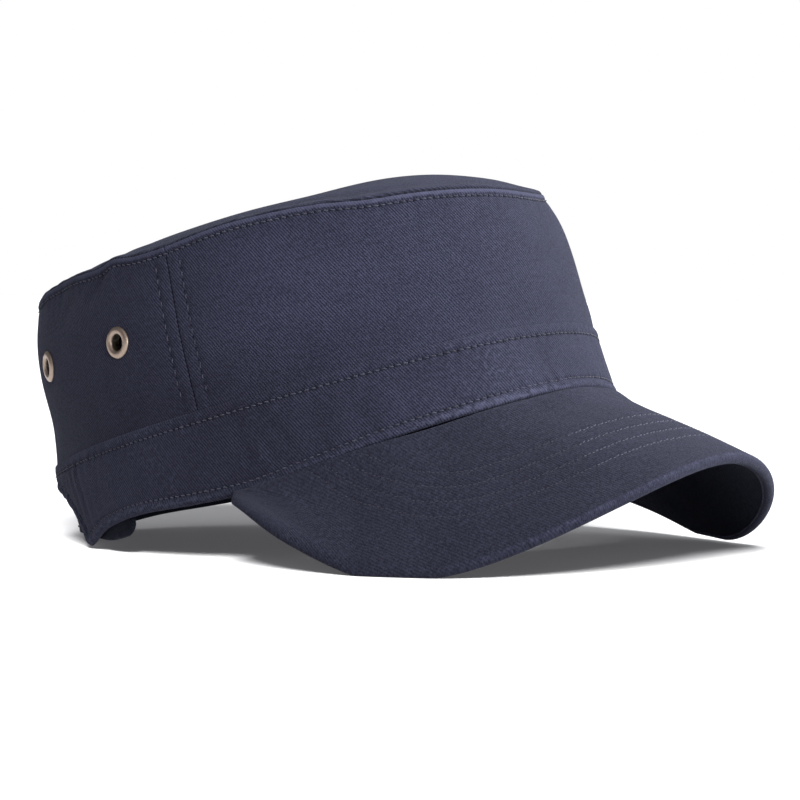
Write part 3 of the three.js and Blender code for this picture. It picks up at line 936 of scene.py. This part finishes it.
def top_panel():
    angle = np.linspace(0, 360, TOP_COLUMNS + 1)[:, None]
    inward, full = rounded(2 * TOP_RADIUS, 1.3, 0.75)
    half = len(inward) // 2
    reach = np.append(1 - inward[: half - 1] / TOP_RADIUS, [0.008, 0.0015, 0.0002])[None]
    full = np.append(full[: half - 1], [1, 1, 1])[None]
    relief = top_relief(angle, reach)
    raised = (relief + top_swell(angle, reach)) * full
    outer = at_rest(top_point(angle, reach, TOP_THICKNESS / 2 * (1 - full) - raised))
    inner = at_rest(top_point(angle, reach, TOP_THICKNESS / 2 * (1 + full) - 0.5 * raised))
    flat = top_point(angle, reach, 0.0)
    # Painted shade darkens the grooves and the rounded edge of the cloth at the seam
    wear_and_shading = relief / 1.5 - 1.5 * (1 - full)
    return new_sheet(
        "top_panel_cloth", outer, inner, flat[..., :2], wear_and_shading, twill, ["top_panel"], ring=True
    )


top_panel()


# Band

BAND_TOP_ROW = 3.8
BAND_BOTTOM_ROW = 3.6
BAND_STITCHES = 246
BAND_ROW_PITCH = 2.35
BAND_STRIP = 27


def band_size(angle):
    return band_top(angle) - band_bottom(angle)


def opening_side(count):
    """Degrees from the middle of the back along one side of the opening, close together
    where its edge is steep."""
    turn = np.radians(np.linspace(0, 90, count))
    return mix(BACK_OPENING_TOP_ANGLE, BACK_OPENING_FOOT_ANGLE, np.sin(turn))


def band_edge_curve():
    """The lower edge near the back, as millimetres round the wall and height."""
    offsets = opening_side(60)
    angle = np.concatenate([
        90 - np.linspace(70, 50.1, 30), 90 - offsets[::-1], 90 + np.linspace(-33.8, 33.8, 80),
        90 + offsets, 90 + np.linspace(50.1, 70, 30),
    ])
    return length_at(angle), band_bottom(angle)


EDGE_X, EDGE_Y = band_edge_curve()


def above_band_edge(angle, height):
    """Distance from the band's lower edge."""
    plain = height - band_bottom(angle)
    near_back = np.broadcast_to(from_back(angle) < 62, plain.shape)
    distance = plain.copy()
    x = np.broadcast_to(length_at(angle), plain.shape)[near_back]
    y = height[near_back]
    best = np.full(len(x), 1e9)
    for start in range(0, len(EDGE_X), 20):
        dx = x[:, None] - EDGE_X[None, start : start + 20]
        dy = y[:, None] - EDGE_Y[None, start : start + 20]
        best = np.minimum(best, (dx * dx + dy * dy).min(1))
    distance[near_back] = np.sqrt(best)
    return distance


def band_relief(angle, t):
    share = length_at(angle) / GIRTH
    height = band_bottom(angle) + t * band_size(angle)
    down = band_top(angle) - height
    up = above_band_edge(angle, height)
    relief = stitched(share, down - BAND_TOP_ROW, BAND_STITCHES, 41, 0.34)
    relief = relief + stitched(share, up - BAND_BOTTOM_ROW, BAND_STITCHES, 43, 0.38)
    relief = relief + 0.15 * bump((down - 1.7) / 1.3)
    relief = relief + 0.45 * bump((up - 1.5) / 1.5)
    middle = ease(down, 2, 8) * ease(up, 2, 8)
    relief = relief + 0.12 * middle * cloth_waves(share + 0.006 * t, t, 14, 46, 0.5, 44)
    relief = relief + 0.12 * cloth_waves(share, t, 3, 9, 0.4, 45)
    gathered = bump((from_back(angle) - 40) / 17)
    relief = relief + 0.26 * gathered * waves(share + 0.003 * t, 70, 118, 46) * ease(down, 1, 6)
    return relief + 0.3 * near(angle, 196, 5) * cloth_waves(share, t, 60, 90, 3, 47) * middle


def band_point(angle, t, depth):
    height = band_bottom(angle) + t * band_size(angle)
    return at_rest(wall_point(angle, rise_of_height(angle, height), depth))


def band_face(angle, t):
    return band_point(angle, t, -band_relief(angle, t))


def headband():
    steep = opening_side(28)
    angle = np.concatenate([
        np.linspace(56, 124, 96), 90 + steep[1:], np.linspace(140, 400, 520)[1:-1], 450 - steep[:0:-1],
    ])
    angle = np.append(angle, 416.0)[:, None]
    up, full = rounded(BAND_STRIP, 0.54, 1.0)
    t = (up / BAND_STRIP)[None]
    full = full[None]
    relief = band_relief(angle, t)
    outer = band_point(angle, t, BAND_THICKNESS / 2 * (1 - full) - relief * full)
    inner = band_point(angle, t, BAND_THICKNESS / 2 * (1 + full))
    height = band_bottom(angle) + t * band_size(angle)
    weave = pairs(length_at(angle), height)
    tone = 0.28 * near(angle, 152, 16) - 0.2 * near(angle, 192, 16) + 0.1 * near(angle, 245, 22)
    return new_sheet(
        "headband_cloth", outer, inner, weave, relief / 0.9, twill, ["headband"], ring=True,
        tone=tone + 0 * t
    )


headband()


# Strap

STRAP_ROW = 2.4
STRAP_FOLD_RADIUS = 0.85


def strap_limits(angle):
    """Height of the strap's lower and upper edge, which round off at its free end."""
    to_end = np.maximum(0, length_at(STRAP_FREE_END) - length_at(angle))
    missing = np.clip(STRAP_END_RADIUS - to_end, 0, STRAP_END_RADIUS - 0.02)
    rounding = STRAP_END_RADIUS - np.sqrt(STRAP_END_RADIUS**2 - missing**2)
    return strap_top(angle) - STRAP_HEIGHT + rounding, strap_top(angle) - rounding


def strap_relief(angle, t):
    share = length_at(angle) / GIRTH
    low, high = strap_limits(angle)
    edge = np.minimum(t, 1 - t) * (high - low)
    relief = stitched(share, edge - STRAP_ROW, BAND_STITCHES, 51, 0.25)
    return relief + 0.15 * bump((edge - 1.2) / 1.0) + 0.1 * cloth_waves(share, t, 10, 40, 0.6, 52)


def strap_point(angle, t, depth):
    low, high = strap_limits(angle)
    height = low + t * (high - low)
    return at_rest(wall_point(angle, rise_of_height(angle, height), CROWN_INSET + depth))


def strap_face(angle, t):
    return strap_point(angle, t, -0.5 * strap_relief(angle, t))


def strap():
    start, end = length_at(STRAP_FIXED_END), length_at(STRAP_FREE_END)
    to_end = np.append(np.linspace(0, 1, 14) ** 2 * STRAP_END_RADIUS, np.arange(5.8, end - start, 0.9))
    angle = angle_at(np.append(start, np.sort(end - to_end)))[:, None]
    up, full = rounded(STRAP_HEIGHT, 0.7, STRAP_FOLD_RADIUS)
    t = (up / STRAP_HEIGHT)[None]
    end_full = np.sqrt(1 - np.clip(1 - (end - length_at(angle)) / STRAP_FOLD_RADIUS, 0, 0.98) ** 2)
    full = full[None] * end_full
    relief = strap_relief(angle, t)
    outer = strap_point(angle, t, STRAP_THICKNESS / 2 * (1 - full) - 0.5 * relief * full)
    inner = strap_point(angle, t, STRAP_THICKNESS / 2 * (1 + full))
    low, high = strap_limits(angle)
    weave = pairs(length_at(angle), low + t * (high - low))
    # The strap takes the darker twill as painted shade, inside the cap
    return new_sheet(
        "strap_cloth", outer, inner, weave, relief / 0.5, shaded_twill, ["strap"]
    )


strap()


# Peak: across runs from -1 at its right end to 1 at its left end, and out from 0 at the
# band to 1 at its edge

# Where each side of the peak's edge comes down and climbs again, in degrees out from the
# front, and its height in between: right side, left side
PEAK_ARCH_ENDS = (46, 39)
PEAK_CLIMB_STARTS = (55.5, 46)
PEAK_LOWEST = (-0.2, 1)
PEAK_CLIMB = 21


def peak_root(across):
    point = wall_point(270 + PEAK_HALF_SPAN * across, 0.0, 1.0)
    point[..., 2] -= PEAK_ROUND_RADIUS + CLEARANCE + 0.1
    return tilted(point)


def peak_edge_height(turn):
    arch_end, climb_start, lowest = (
        np.where(turn < 0, *sides) for sides in (PEAK_ARCH_ENDS, PEAK_CLIMB_STARTS, PEAK_LOWEST)
    )
    out = np.abs(turn)
    arch = np.cos(np.radians(np.minimum(90, 90 * out / arch_end))) ** 1.6
    climb = np.maximum(0, (out - climb_start) / (PEAK_END_TURN - climb_start)) ** 1.15
    return lowest + (PEAK_FRONT_HEIGHT - lowest) * arch + PEAK_CLIMB * climb


def peak_edge(across):
    turn = PEAK_END_TURN * across
    c, s = cos_sin(turn)
    sideways = (np.abs(s) / PEAK_HALF_WIDTH) ** PEAK_SQUARENESS
    forward = (c / PEAK_REACH) ** PEAK_SQUARENESS
    reach = (sideways + forward) ** (-1 / PEAK_SQUARENESS)
    edge = np.stack([reach * s, PEAK_CENTRE_Y - reach * c, peak_edge_height(turn)], -1)
    cornering = np.clip((np.abs(across) - 0.84) / 0.16, 0, 1)
    share = 0.5 + 0.5 * np.sqrt(1 - cornering**2)
    root = peak_root(across)
    return root + (edge - root) * share[..., None]


def peak_length(across):
    return np.linalg.norm(peak_edge(across) - peak_root(across), axis=-1)


def peak_middle(across, out):
    across, out = np.broadcast_arrays(np.asarray(across, float), out)
    root = peak_root(across)
    point = root + (peak_edge(across) - root) * out[..., None]
    lift = PEAK_ARCH * 4 * out * (1 - out) * (1 - 0.6 * np.abs(across))
    point[..., 2] += lift
    point[..., 0] += 0.6 * lift * across
    return point


def peak_normal(across, out):
    step = 0.004
    along = peak_middle(np.minimum(1, across + step), out) - peak_middle(np.maximum(-1, across - step), out)
    outwards = peak_middle(across, np.minimum(1, out + step)) - peak_middle(across, np.maximum(0, out - step))
    return unit(np.cross(outwards, along))


# Four rows of stitches: distance from the peak's edge at the front
PEAK_ROWS = [36, 30, 24, 18]
PEAK_PITCH = 3.0
PEAK_SHARES = np.linspace(-1, 1, 801)


def peak_row_back(row, across):
    """Distance of a stitch row from the peak's edge."""
    spread = np.maximum(0, np.abs(across) - 0.45)
    return PEAK_ROWS[row] - 2.5 * bump(across / 0.13) + 37 * spread


def peak_row_out(row, across):
    return 1 - peak_row_back(row, across) / peak_length(across)


def peak_row_table(row):
    """Lengths along a row, up to where it reaches the band."""
    out = peak_row_out(row, PEAK_SHARES)
    inside = PEAK_SHARES[out > 0.035]
    path = peak_middle(inside, peak_row_out(row, inside))
    return inside, run_along(path)


PEAK_TABLES = [peak_row_table(row) for row in range(len(PEAK_ROWS))]


def peak_relief(across, out):
    length = peak_length(across)
    back = (1 - out) * length
    relief = 0 * back
    for row, (inside, lengths) in enumerate(PEAK_TABLES):
        share = np.interp(across, inside, lengths / lengths[-1])
        count = round(lengths[-1] / PEAK_PITCH)
        off = back - peak_row_back(row, across)
        relief = relief + ease(out, 0.0, 0.05) * stitched(share, off, count, 61 + row, 0.14, 0.03)
    wide = cloth_waves(0.5 * across, out, 2, 7, 1.5, 66)
    fine = cloth_waves(0.5 * across, out, 14, 40, 6, 67)
    return relief + ease(back, 2, 10) * (0.14 * wide + 0.03 * fine)


def root_lift(across, out):
    """The peak swells up against the band where it passes under it."""
    return 0.9 * (1 - ease(out * peak_length(across), 0, 9))


def end_lift(across, out):
    """Both sides of the peak are drawn up against the band."""
    return 1.5 * ease(np.abs(across), 0.5, 0.8) * (1 - ease(out * peak_length(across), 2, 16))


def rim_reach(across):
    """How far the rounding of the rim reaches back over the top: further on the right side."""
    return PEAK_ROUND_RADIUS + 3.5 * ease(-across, 0.4, 0.75)


def rim_drop(across):
    """How far the rim reaches below the middle of the peak: less at its two ends
    and in its left lobe."""
    at_ends = 0.8 * ease(np.abs(across), 0.88, 1.0)
    return PEAK_ROUND_RADIUS * (1 - at_ends - 0.3 * bump((across - 0.68) / 0.14))


def rim_lift(across):
    """The left lobe of the rim stands a little clear of the surface."""
    return 2.2 * bump((across - 0.7) / 0.17)


def peak_place(across, out, height):
    """A point of the peak at a height above the middle of its thickness."""
    point = peak_middle(across, out) + peak_normal(across, out) * height[..., None]
    point[..., 2] += rim_lift(across) * ease(out, 0.2, 1.0) + end_lift(across, out)
    return on_surface(point)


def peak_face(across, out):
    return peak_place(across, out, PEAK_ROUND_RADIUS + peak_relief(across, out) + root_lift(across, out))


PEAK_CLOTH_TURN = 31
PEAK_VISIBLE_LIP = 2.6

# The cloth over the rim looks ribbed from here to the left
RIBS_START = -0.32
RIB_SCALE = 1.5


def flat_weave(across, out):
    """The peak's cloth laid flat: millimetres across and along."""
    point = peak_middle(across, out)
    side = np.hypot(np.gradient(point[..., 0], axis=0), np.gradient(point[..., 2], axis=0))
    x = np.cumsum(side, axis=0)
    x = x - x[len(x) // 2]
    y = point[..., 1]
    c, s = cos_sin(PEAK_CLOTH_TURN)
    return np.stack([x * c - y * s, x * s + y * c], -1)


# Turns round the rounded edge at which the peak has its rows of points: over it, under it
RIM_TURNS_OVER = np.radians([80, 69, 58, 46, 34, 22, 11])
RIM_TURNS_UNDER = np.radians([0, 12, 24, 36, 50, 64, 78, 90])
PEAK_COLUMNS = 500
PEAK_TOP_ROWS = 118
PEAK_INNER_ROWS = 30


def peak_cover():
    across = np.linspace(-1, 1, PEAK_COLUMNS)[:, None]
    length = peak_length(across)
    reach = rim_reach(across)
    drop = rim_drop(across)
    rows = []

    def add_row(out, height, relief, rim):
        """Rim is the distance over the rounded edge from where it starts."""
        rows.append(np.broadcast_arrays(out, height, relief, rim, across)[:4])

    for share in np.linspace(0, 1, PEAK_TOP_ROWS):
        out = share * (1 - reach / length)
        add_row(out, PEAK_ROUND_RADIUS + root_lift(across, out), peak_relief(across, out), 0.0)
    for turn in RIM_TURNS_OVER:
        out = 1 - reach * (1 - np.cos(turn)) / length
        add_row(out, PEAK_ROUND_RADIUS * np.sin(turn), 0.0, PEAK_ROUND_RADIUS * (np.pi / 2 - turn))
    for turn in RIM_TURNS_UNDER:
        out = 1 - drop * (1 - np.cos(turn)) / length
        add_row(out, -drop * np.sin(turn), 0.0, PEAK_ROUND_RADIUS * (np.pi / 2 + turn))
    lip = 1 - PEAK_VISIBLE_LIP / length
    add_row(lip, -drop, 0.0, PEAK_ROUND_RADIUS * np.pi + 0.6)
    last_outside = len(rows) - 1
    for share in np.linspace(1, 0, PEAK_INNER_ROWS):
        add_row(share * lip, 0.0, 0.0, 9.0)

    out, height, relief, rim = (np.concatenate(values, 1) for values in zip(*rows))
    over_edge = np.arange(len(rows)) >= PEAK_TOP_ROWS
    points = peak_place(across, out, height + relief)
    flat = flat_weave(across, out)
    ribbed = pairs(RIB_SCALE * run_along(peak_edge(across[:, 0]))[:, None], 0.5 * rim)

    columns, size = out.shape
    index = np.arange(columns * size).reshape(columns, size)
    faces = ring_faces(index)
    on_rim = over_edge[None, :, None, None] & (across[:-1, :, None, None] > RIBS_START)
    threads = np.where(on_rim, ribbed.reshape(-1, 2)[faces], flat.reshape(-1, 2)[faces])
    ends = []
    for column in (0, columns - 1):
        upper = index[column, : last_outside + 1]
        lower = index[column, :last_outside:-1]
        steps = np.round(np.linspace(0, len(upper) - 1, len(lower))).astype(int)
        for i in range(len(lower) - 1):
            for k in range(steps[i], steps[i + 1]):
                beyond = lower[i + 1] if k == steps[i + 1] - 1 else lower[i]
                corner = [upper[k], upper[k + 1], beyond, lower[i]]
                ends.append(corner if column == 0 else corner[::-1])
    ends = np.array(ends)
    all_faces = np.concatenate([faces.reshape(-1, 4), ends])
    all_threads = np.concatenate([threads.reshape(-1, 4, 2), flat.reshape(-1, 2)[ends]])
    # The rim is paler, partly from wear and partly as a painted highlight that fades out on the shaded right
    # side; the left part of the peak is paler as painted light
    rubbed = 0.2 * bump((rim - 0.9) / 0.7) + 0.1 * bump((rim - 5.5) / 0.8)
    wear_and_shading = relief / 0.9 + np.where(rim > 0, rubbed * ease(across, -0.7, -0.35), 0)
    tone = 0.22 * ease(rim, 0, 1.2) + 0.35 * bump((rim - 1.0) / 0.9) * (rim > 0)
    tone = 0.1 * ease(across, -0.3, 0.1) + tone * ease(across, -0.7, -0.3)
    return new_piece(
        "peak_cloth", points.reshape(-1, 3), all_faces, peak_twill, ["peak"], all_threads,
        wear_and_shading.ravel(), tone.ravel(),
    )


peak_cover()


UNDERSIDE_SPAN = 0.9
UNDERSIDE_HALF_WIDTH = 90
UNDERSIDE_STRIP = 64
UNDERSIDE_GAP = 1.4 * CLEARANCE


def underside_point(across, share, height):
    length = peak_length(across)
    return peak_place(across, share * (1 - (PEAK_VISIBLE_LIP + 0.2) / length), height)


def peak_underside():
    across, end_full = rounded(2 * UNDERSIDE_HALF_WIDTH, 0.75, 0.5)
    across = (UNDERSIDE_SPAN * (across / UNDERSIDE_HALF_WIDTH - 1))[:, None]
    down, full = rounded(UNDERSIDE_STRIP, 1.0, 0.7)
    share = (down / UNDERSIDE_STRIP)[None]
    full = end_full[:, None] * full[None]
    upper = -UNDERSIDE_GAP - UNDERSIDE_THICKNESS / 2 * (1 - full)
    sag = 0.12 * cloth_waves(0.5 * across, share, 3, 9, 2, 71) * full
    lower = -UNDERSIDE_GAP - UNDERSIDE_THICKNESS / 2 * (1 + full) - sag
    outer = underside_point(across, share, lower)
    inner = underside_point(across, share, upper)
    # Painted light: the underside of the left lobe is made paler in place of light from the floor; the rest
    # takes the darker twill as painted shade
    tone = 1.3 * ease(across, 0.42, 0.7) + 0 * share
    return new_sheet(
        "peak_underside_cloth", outer, inner, outer[..., :2], sag / 0.5, shaded_twill,
        ["peak_underside"], tone=tone,
    )


peak_underside()


WELT_SPAN = 0.93
WELT_RADIUS = 0.36
WELT_RINGS = 400
WELT_PITCH = 0.75


def peak_welt():
    """The thin welt where the rim's cloth meets the underside."""
    across = np.linspace(-WELT_SPAN, WELT_SPAN, WELT_RINGS)
    length = peak_length(across)
    out = 1 - (PEAK_VISIBLE_LIP + 0.1) / length
    normal = peak_normal(across, out)
    centre = peak_place(across, out, -rim_drop(across) + 0.05)
    along = unit(np.gradient(centre, axis=0))
    side = unit(np.cross(along, normal))
    turns = ring_of(8)
    ring = np.cos(turns)[:, None] * side[:, None] + np.sin(turns)[:, None] * normal[:, None]
    points = centre[:, None] + WELT_RADIUS * ring
    points[..., 2] = np.maximum(0, points[..., 2])
    points, faces = tubes(points[None])
    run = WELT_PITCH * np.arange(WELT_RINGS)[:, None]
    weave = pairs(run, WELT_RADIUS * turns).reshape(-1, 2)
    wear_and_shading = np.full(len(weave), 0.6)
    return new_piece("peak_welt", points, faces, twill, (), weave[faces], wear_and_shading)


peak_welt()


# Eyelets

# One side of an eyelet's section, a closed loop: distance from its axis, height over the
# cloth, how rubbed
EYELET_SECTION = [
    (2.65, -2.6, 0.0), (2.65, -1.2, 0.0), (2.65, 0.1, 0.2), (2.74, 0.5, 0.5), (3.02, 0.86, 0.8),
    (3.45, 1.05, 0.9), (3.95, 1.1, 1.0), (4.45, 1.02, 1.0), (4.9, 0.78, 0.9), (5.2, 0.42, 0.6),
    (5.3, 0.05, 0.3), (5.2, -0.15, 0.0), (4.8, -0.2, 0.0), (3.2, -0.2, 0.0), (3.2, -1.9, 0.0),
    (4.9, -1.95, 0.3), (5.05, -2.2, 0.6), (4.9, -2.5, 0.7), (4.0, -2.75, 0.8), (3.1, -2.75, 0.5),
]
EYELET_SIDES = 64
EYELET_RAISE = 0.15


def eyelet(name, angle, height):
    angle = np.array(angle)
    rise = rise_of_height(angle, height)
    along = unit(crown_face(angle + 1.5, rise) - crown_face(angle - 1.5, rise))
    upward = unit(crown_face(angle, rise + 0.02) - crown_face(angle, rise - 0.02))
    out = unit(np.cross(along, upward))
    turns = ring_of(EYELET_SIDES)[:, None]
    radial = np.cos(turns) * along + np.sin(turns) * np.cross(out, along)
    distance, raised, rubbed = np.array(EYELET_SECTION).T
    points = radial[:, None] * distance[:, None] + out * (raised + EYELET_RAISE)[:, None]
    points = crown_face(angle, rise) + points
    index = np.arange(EYELET_SIDES * len(distance)).reshape(EYELET_SIDES, -1)
    faces = ring_faces(np.vstack([index, index[:1]])).reshape(-1, 4)
    rubbed = np.tile(rubbed, EYELET_SIDES)
    return new_piece(name + "_ring", points.reshape(-1, 3), faces, brass, [name], None, rubbed)


for eyelet_name, eyelet_angle, eyelet_height in EYELETS:
    eyelet(eyelet_name, eyelet_angle, eyelet_height)


# Rows of stitches

crown_seams = Seams("crown_stitching", thread)
places = stitch_angles(TOP_STITCHES)
crown_seams.row(crown_face, places, 1 - TOP_ROW / wall_size(places), 81)
for seam_angle in (RIGHT_SEAM_ANGLE, LEFT_SEAM_ANGLE):
    for side in (-1, 1):
        across_angle = angle_at(length_at(seam_angle) + side * SIDE_ROW)
        rises = stitch_places(SIDE_STITCHES) / SIDE_SHARE
        low = ledge_rise(across_angle) + 0.02
        high = 1 - 4.6 / wall_size(across_angle)
        rises = rises[(rises > low) & (rises < high)]
        crown_seams.row(crown_face, across_angle + 0 * rises, rises, 83 + side)
crown_seams.finish()

band_seams = Seams("band_stitching", thread)
places = stitch_angles(BAND_STITCHES)
band_seams.row(band_face, places, 1 - BAND_TOP_ROW / band_size(places), 85)


# Steps in which the lower row is moved in from the edge, and the degrees on either side
# of the opening's corners that have no stitch
ROW_STEPS = 6
CORNER_BARE = 2.6


def band_bottom_row():
    """The lower row follows the edge, also round the arched opening."""
    x = np.concatenate([EDGE_X, np.arange(EDGE_X[-1] + 1, EDGE_X[0] + GIRTH, 1.0)])
    y = band_bottom(angle_at(x))
    y[: len(EDGE_Y)] = EDGE_Y
    path = np.stack([x, y], -1)
    path = np.vstack([path, path[:1] + [GIRTH, 0]])
    fresh = np.concatenate([[True], np.linalg.norm(np.diff(path, axis=0), axis=-1) > 1e-6])
    path = path[fresh]
    for _ in range(ROW_STEPS):
        along = unit(np.gradient(path, axis=0))
        path = path + BAND_BOTTOM_ROW / ROW_STEPS * np.stack([-along[:, 1], along[:, 0]], -1)
    lengths = run_along(path)
    count = round(lengths[-1] / BAND_ROW_PITCH)
    at = stitch_places(count) * lengths[-1]
    x = np.interp(at, lengths, path[:, 0])
    y = np.interp(at, lengths, path[:, 1])
    angle = angle_at(x)
    sewn = np.abs(from_back(angle) - BACK_OPENING_FOOT_ANGLE) > CORNER_BARE
    angle, y = angle[sewn], y[sewn]
    return angle, (y - band_bottom(angle)) / band_size(angle)


band_seams.row(band_face, *band_bottom_row(), 87)
band_seams.finish()

# The thread of the peak is paler as painted light, except on the right side, where it is darker as painted
# shade
LIT_START = -0.24
PEAK_STITCH_LENGTH = 2.5
peak_seams = Seams("peak_stitching", lit_thread, PEAK_STITCH_LENGTH, 0.24)
side_seams = Seams("peak_stitching_right", shaded_thread, PEAK_STITCH_LENGTH, 0.22)
for row, (inside, lengths) in enumerate(PEAK_TABLES):
    count = round(lengths[-1] / PEAK_PITCH)
    across_places = np.interp(stitch_places(count) * lengths[-1], lengths, inside)
    row_out = peak_row_out(row, across_places)
    lit_side = across_places > LIT_START
    peak_seams.row(peak_face, across_places[lit_side], row_out[lit_side], 91 + row, False)
    side_seams.row(peak_face, across_places[~lit_side], row_out[~lit_side], 95 + row, False)
peak_seams.finish()
side_seams.finish()

strap_seams = Seams("strap_stitching", thread)
inside_strap = stitch_angles(BAND_STITCHES)
inside_strap = inside_strap[(inside_strap > STRAP_FIXED_END + 4) & (inside_strap < STRAP_FREE_END - 14)]
strap_low, strap_high = strap_limits(inside_strap)
row_share = STRAP_ROW / (strap_high - strap_low)
for share in (row_share, 1 - row_share):
    strap_seams.row(strap_face, inside_strap, share, 97)
strap_seams.finish()


# Floor, light and camera

FLOOR_HALF_SIZE = 6.0
FLOOR_HEIGHT = -0.0002

# Strength of the soft light from the sky, and from below
SKY_ABOVE = 0.28
SKY_BELOW = 0.045

# The camera stands 55 degrees round from the front towards the wearer's right, a little
# above the level of the cap
VIEW_AZIMUTH = 55
VIEW_ELEVATION = 2.4
VIEW_DISTANCE = 1.1
PIXELS_PER_METRE = 2984
PICTURE_SIZE = 800
SENSOR_WIDTH = 36
TARGET = np.array([0, -0.002, 0.06])
TARGET_PIXEL = (388.8, 367.8)


def add_object(name, data):
    added = bpy.data.objects.new(name, data)
    bpy.context.scene.collection.objects.link(added)
    return added


def pale_floor():
    mesh = bpy.data.meshes.new("floor")
    corners = [(-1, -1), (1, -1), (1, 1), (-1, 1)]
    points = [(FLOOR_HALF_SIZE * x, FLOOR_HALF_SIZE * y, FLOOR_HEIGHT) for x, y in corners]
    mesh.from_pydata(points, [], [(0, 1, 2, 3)])
    paper, n = new_material("pale_floor")
    grain = n.noise(n.place(), 60.0, 3.0)
    n.surface(
        Base_Color=n.blend(grain, colour(0.86, 0.86, 0.87), colour(0.9, 0.9, 0.9)),
        Roughness=0.9,
        Specular_IOR_Level=0.1,
        Emission_Color=colour(0.96, 0.95, 1.0),
        Emission_Strength=0.075,
    )
    mesh.materials.append(paper)
    return add_object("floor", mesh)


def studio_sky():
    """Soft light, stronger from above, in front of a plain white backdrop."""
    world = bpy.data.worlds.new("studio")
    bpy.context.scene.world = world
    n = Nodes(world)
    way = n.fill(n.add("SeparateXYZ"), Vector=n.add("TexCoord").outputs["Generated"])
    strength = n.range(way.outputs["Z"], -0.1, 0.2, SKY_BELOW, SKY_ABOVE, "LINEAR")
    light = n.fill(n.tree.nodes["Background"], Color=colour(0.97, 0.98, 1.0), Strength=strength)
    backdrop = n.fill(n.add("Background"), Color=colour(1, 1, 1), Strength=1.0)
    choose = n.add("MixShader")
    seen = n.add("LightPath").outputs["Is Camera Ray"]
    for socket, value in zip(choose.inputs, (seen, light.outputs[0], backdrop.outputs[0])):
        n.put(socket, value)
    n.fill(n.tree.nodes["World Output"], Surface=choose.outputs[0])


def look_along(direction):
    return Vector(direction).to_track_quat("-Z", "Y").to_euler()


def far_light(name, azimuth, elevation, strength, width):
    """A broad light a long way off; azimuth turns from the front towards the wearer's
    right, and width is the angle that the light fills."""
    c, s = cos_sin(azimuth)
    level, rise = cos_sin(elevation)
    away = np.array([-s * level, -c * level, rise])
    data = bpy.data.lights.new(name, "SUN")
    data.energy = strength
    data.angle = np.radians(width)
    lamp = add_object(name, data)
    lamp.location = 2 * away
    lamp.rotation_euler = look_along(-away)
    return lamp


def add_camera():
    c, s = cos_sin(VIEW_AZIMUTH)
    level, rise = cos_sin(VIEW_ELEVATION)
    right = np.array([c, -s, 0])
    back = np.array([-s * level, -c * level, rise])
    up = np.array([s * rise, c * rise, level])
    right_shift, down_shift = ((at - PICTURE_SIZE / 2) / PIXELS_PER_METRE for at in TARGET_PIXEL)
    data = bpy.data.cameras.new("camera")
    data.sensor_width = SENSOR_WIDTH
    data.lens = SENSOR_WIDTH * PIXELS_PER_METRE * VIEW_DISTANCE / PICTURE_SIZE
    data.clip_start = 0.01
    data.clip_end = 100
    camera = add_object("camera", data)
    camera.location = TARGET + VIEW_DISTANCE * back - right * right_shift + up * down_shift
    camera.rotation_euler = look_along(-back)
    return camera


floor = pale_floor()
studio_sky()
key_light = far_light("key", -50, 28, 2.8, 40)
front_light = far_light("front", 18, 8, 3.0, 40)
side_light = far_light("side", 55, 50, 0.55, 70)
table_light = far_light("floor_light", 56, 37, 7.6, 20)

# The floor is as bright as a light table: it has a light of its own, and the lights
# that model the cap pass it by
for lamps, state in (([table_light], "INCLUDE"), ([key_light, front_light, side_light], "EXCLUDE")):
    linked = bpy.data.collections.new("floor_" + state.lower())
    linked.objects.link(floor)
    linked.collection_objects[0].light_linking.link_state = state
    for lamp in lamps:
        lamp.light_linking.receiver_collection = linked
floor.visible_diffuse = False

bpy.context.scene.camera = add_camera()
bpy.context.scene.view_settings.view_transform = "Standard"
